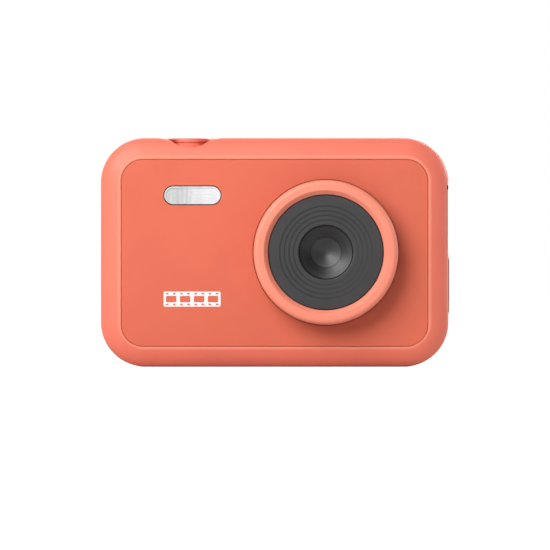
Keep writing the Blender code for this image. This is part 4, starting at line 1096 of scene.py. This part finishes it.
def make_pad_key(body, middle):
    """A direction key: a quarter of a ring with a wider skirt under the cover, and its arrow."""
    inner, outer, stem_r, half = 4.5 * MM, 9.6 * MM, 7.3 * MM, 42
    key = prism(body + "_cap", band(PAD_X, MID_Z, inner, outer, middle - half, middle + half, 28),
                across_y, FLANGE_Y - 0.3 * MM, KEY_Y)
    bevelled(key, 0.38 * MM, 4, 50)
    skirt = prism("skirt", band(PAD_X, MID_Z, 6.0 * MM, outer + 1.1 * MM, middle - half + 2,
                                middle + half - 2, 28), across_y, FLANGE_Y - 0.7 * MM, FLANGE_Y)
    angle = math.radians(middle)
    x, z = PAD_X + stem_r * math.cos(angle), MID_Z + stem_r * math.sin(angle)
    join(key, skirt, rod(x, z, 1.0 * MM, across_y, STEM_Y, FLANGE_Y - 0.2 * MM, 24))
    dress(key, "key", "keys", body + "_key", body=body)

    reach, size = mm(7.15, 1.0)
    x, z = PAD_X + reach * math.cos(angle), MID_Z + reach * math.sin(angle)
    turns = [angle + math.radians(turn) for turn in (0, 130, 230)]
    arrow = ink_shape([(x + size * math.cos(a), z + size * math.sin(a)) for a in turns], KEY_Y,
                      across_y, 1)
    arrow.name = body + "_arrow"
    dress(arrow, "ink", "keys", body=body)


def key_marks(body, u, v):
    """The generic print on a round key, as seen from behind, where +X is to the left."""
    t = 0.26 * MM

    def stroke(radius, start, end):
        return band(u, v, radius - t / 2, radius + t / 2, start, end, 48)

    if body == "power":
        return [stroke(0.95 * MM, 125, 415), rounded_rect(u, v + 0.72 * MM, t, 1.15 * MM, 0.1 * MM, 3)()]
    if body == "mode":
        return [stroke(1.15 * MM, 20, 160), stroke(1.15 * MM, 200, 340), disc(u, v, 0.42 * MM, 24)()]
    if body == "playback":
        return [[(u - 1.05 * MM, v), (u + 0.75 * MM, v + 0.98 * MM), (u + 0.75 * MM, v - 0.98 * MM)]]
    return [rounded_rect(u, v + row * 0.62 * MM, 1.9 * MM, t, 0.1 * MM, 3)() for row in (-1, 0, 1)]


def make_keys():
    for body in ROUND_KEYS:
        x, _, z = centre(body + "_key")
        key = turned(body + "_cap", key_profile(2.6 * MM, FLANGE_Y), back_place(x, z), 64)
        dress(key, "key", "keys", body + "_key", body=body)
        marks = [ink_shape(points, KEY_Y, across_y, 1) for points in key_marks(body, x, z)]
        dress(merged(body + "_mark", marks), "ink", "keys", body=body)
    profile = key_profile(4.1 * MM, 9.85 * MM, 0.4 * MM, 0.28 * MM, 0.4 * MM)
    dress(turned("ok_cap", profile, back_place(PAD_X, MID_Z), 96), "key", "keys", "ok_key", body="ok")
    for body, middle in PAD_KEYS.items():
        make_pad_key(body, middle)


def make_light():
    x, _, z = centre("status_light")
    low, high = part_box("status_light")
    r = (high.x - low.x) / 2
    profile = [(0.0, high.y), (r * 0.4, high.y - 0.02 * MM), (r * 0.75, high.y - 0.1 * MM),
               (r, high.y - 0.3 * MM), (r, low.y), (0.0, low.y)]
    light = turned("status_dome", profile, back_place(x, z), 40)
    dress(light, "light", "clear_plastic", "status_light")


def make_case_screws():
    """Cross-head screws, each turned to its own angle, with a slot that narrows as it goes down."""
    long, short, shank = mm(1.5, 0.34, 0.65)
    for i, (x, z) in enumerate(screw_places(), start=1):
        low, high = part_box(f"case_screw_{i}")
        head, rim, under = (high.x - low.x) / 2, 0.22 * MM, high.y - 0.7 * MM
        profile = [(0.0, high.y)] + arc(head - rim, high.y - rim, rim, 90, 0, 6)
        profile += [(head, under), (shank, under), (shank, low.y + 0.5 * MM), (0.0, low.y)]
        screw = turned(f"cross_screw_{i}", profile, back_place(x, z), 40)
        turn = Matrix.Translation((x, 0.0, z)) @ Matrix.Rotation(math.radians(17 + 40 * i), 4, "Y")
        levels = ((0.45, high.y - 0.5 * MM), (1.0, high.y + 0.01 * MM), (1.0, high.y + 1.0 * MM))
        slots = []
        for upright in (False, True):
            rings = []
            for share, y in levels:
                sides = (short, long * share) if upright else (long * share, short)
                shape = rounded_rect(0.0, 0.0, *sides, 0.08 * MM, 3)
                rings.append([turn @ p for p in ring_of(shape(), y, across_y)])
            slots.append(skin("slot", rings))
        cut(screw, *slots)
        dress(screw, "steel", "steel", f"case_screw_{i}")


def carry():
    """Better finishes for the CAD nodes that keep their shape."""
    wanted = {
        "glass": ("rear_lens", "ir_filter"),
        "charcoal": ("lens_holder", "speaker", "shutter_plunger"),
        "chip": ("image_sensor", "sensor_connector", "main_chip", "memory_chip"),
        "circuit": ("sensor_board", "flash_board", "shutter_board", "keypad_board", "main_board"),
        "mirror": ("flash_reflector",),
        "prism": ("flash_led",),
        "steel": ("shutter_switch", "lcd_backlight", "key_domes", "microphone", "usb_socket",
                  "card_socket", "card_door_pin", "usb_door_pin", "board_screw_1", "board_screw_2",
                  "board_screw_3"),
        "screen": ("lcd_glass",),
        "foil": ("battery",),
    }
    for key, nodes in wanted.items():
        for node in nodes:
            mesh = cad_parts[node].data
            mesh.materials.clear()
            mesh.materials.append(FINISH[key])


# Stage

VIEW_WIDTH = 131.2 * MM
VIEW_CENTRE_X = 0.08 * MM
VIEW_CENTRE_Z = 21.9 * MM
CAMERA_DISTANCE = 3.0
WHITE = (1.0, 1.0, 1.0)


def make_camera():
    data = bpy.data.cameras.new("camera")
    data.sensor_width = 36.0
    data.lens = data.sensor_width * CAMERA_DISTANCE / VIEW_WIDTH
    data.clip_start, data.clip_end = 0.05, 50.0
    camera = placed("camera", data)
    camera.location = (VIEW_CENTRE_X, FRONT_Y - CAMERA_DISTANCE, VIEW_CENTRE_Z)
    camera.rotation_euler = (math.pi / 2, 0.0, 0.0)
    bpy.context.scene.camera = camera


def area_light(name, place, size, energy):
    """A round light that shines on the middle of the case."""
    data = bpy.data.lights.new(name, "AREA")
    data.shape, data.size, data.energy = "DISK", size, energy
    light = placed(name, data)
    light.location = place
    aim = Vector((0.0, 0.0, MID_Z)) - Vector(place)
    light.rotation_euler = aim.to_track_quat("-Z", "Y").to_euler()


def make_lights():
    """One big soft light from the upper left, weaker ones behind and to the right, and a world that
    is brighter behind the camera body than in front of it, as with a white sweep."""
    area_light("key", (-0.215, -0.32, 0.24 + MID_Z), 0.38, 2.15)
    area_light("back_key", (0.3, 0.5, 0.45), 0.4, 2.4)
    area_light("side", (0.53, 0.24, 0.2 + MID_Z), 0.3, 1.7)
    world = bpy.data.worlds.new("studio")
    world.use_nodes = True
    tree = world.node_tree
    tree.nodes.clear()
    place = add_node(tree, "ShaderNodeTexCoord").outputs["Generated"]
    depth = add_node(tree, "ShaderNodeSeparateXYZ", {0: place}).outputs["Y"]
    sweep = add_node(tree, "ShaderNodeMapRange", {"Value": depth, "From Min": 0.3, "From Max": 0.95,
                                                  "To Min": 0.22, "To Max": 1.7},
                     interpolation_type="SMOOTHSTEP").outputs["Result"]
    soft = add_node(tree, "ShaderNodeBackground", {"Color": WHITE, "Strength": sweep}).outputs[0]
    seen = add_node(tree, "ShaderNodeBackground", {"Color": WHITE}).outputs[0]
    by_camera = add_node(tree, "ShaderNodeLightPath").outputs["Is Camera Ray"]
    mix = add_node(tree, "ShaderNodeMixShader", {0: by_camera, 1: soft, 2: seen}).outputs[0]
    add_node(tree, "ShaderNodeOutputWorld", {"Surface": mix})
    bpy.context.scene.world = world


def make_floor():
    """A pale floor that glows a little for the camera only."""
    bm = bmesh.new()
    bmesh.ops.create_circle(bm, cap_ends=True, segments=64, radius=8.0)
    floor = meshed("floor", bm)
    floor.location.z = -0.05 * MM
    f = Finish("pale_floor", roughness=0.9, specular_ior_level=0.1)
    f.set("Base Color", f.blend(f.noise(6.0), (0.55, 0.55, 0.55), (0.58, 0.58, 0.58)))
    f.shader.inputs["Emission Color"].default_value = (*WHITE, 1.0)
    f.set("Emission Strength", f.remap(f.node("ShaderNodeLightPath").outputs["Is Camera Ray"], 0.0, 0.8))
    floor.data.materials.append(f.material)


make_camera()
make_lights()
make_floor()
bpy.context.scene.view_settings.view_transform = "Standard"

for make in (make_housing, make_rear_cover, make_panel, make_ring, make_bezel, make_barrel,
             make_front_lens, make_flash, make_shutter, make_print, make_doors, make_bush,
             make_screen, make_keys, make_light, make_case_screws, carry):
    make()
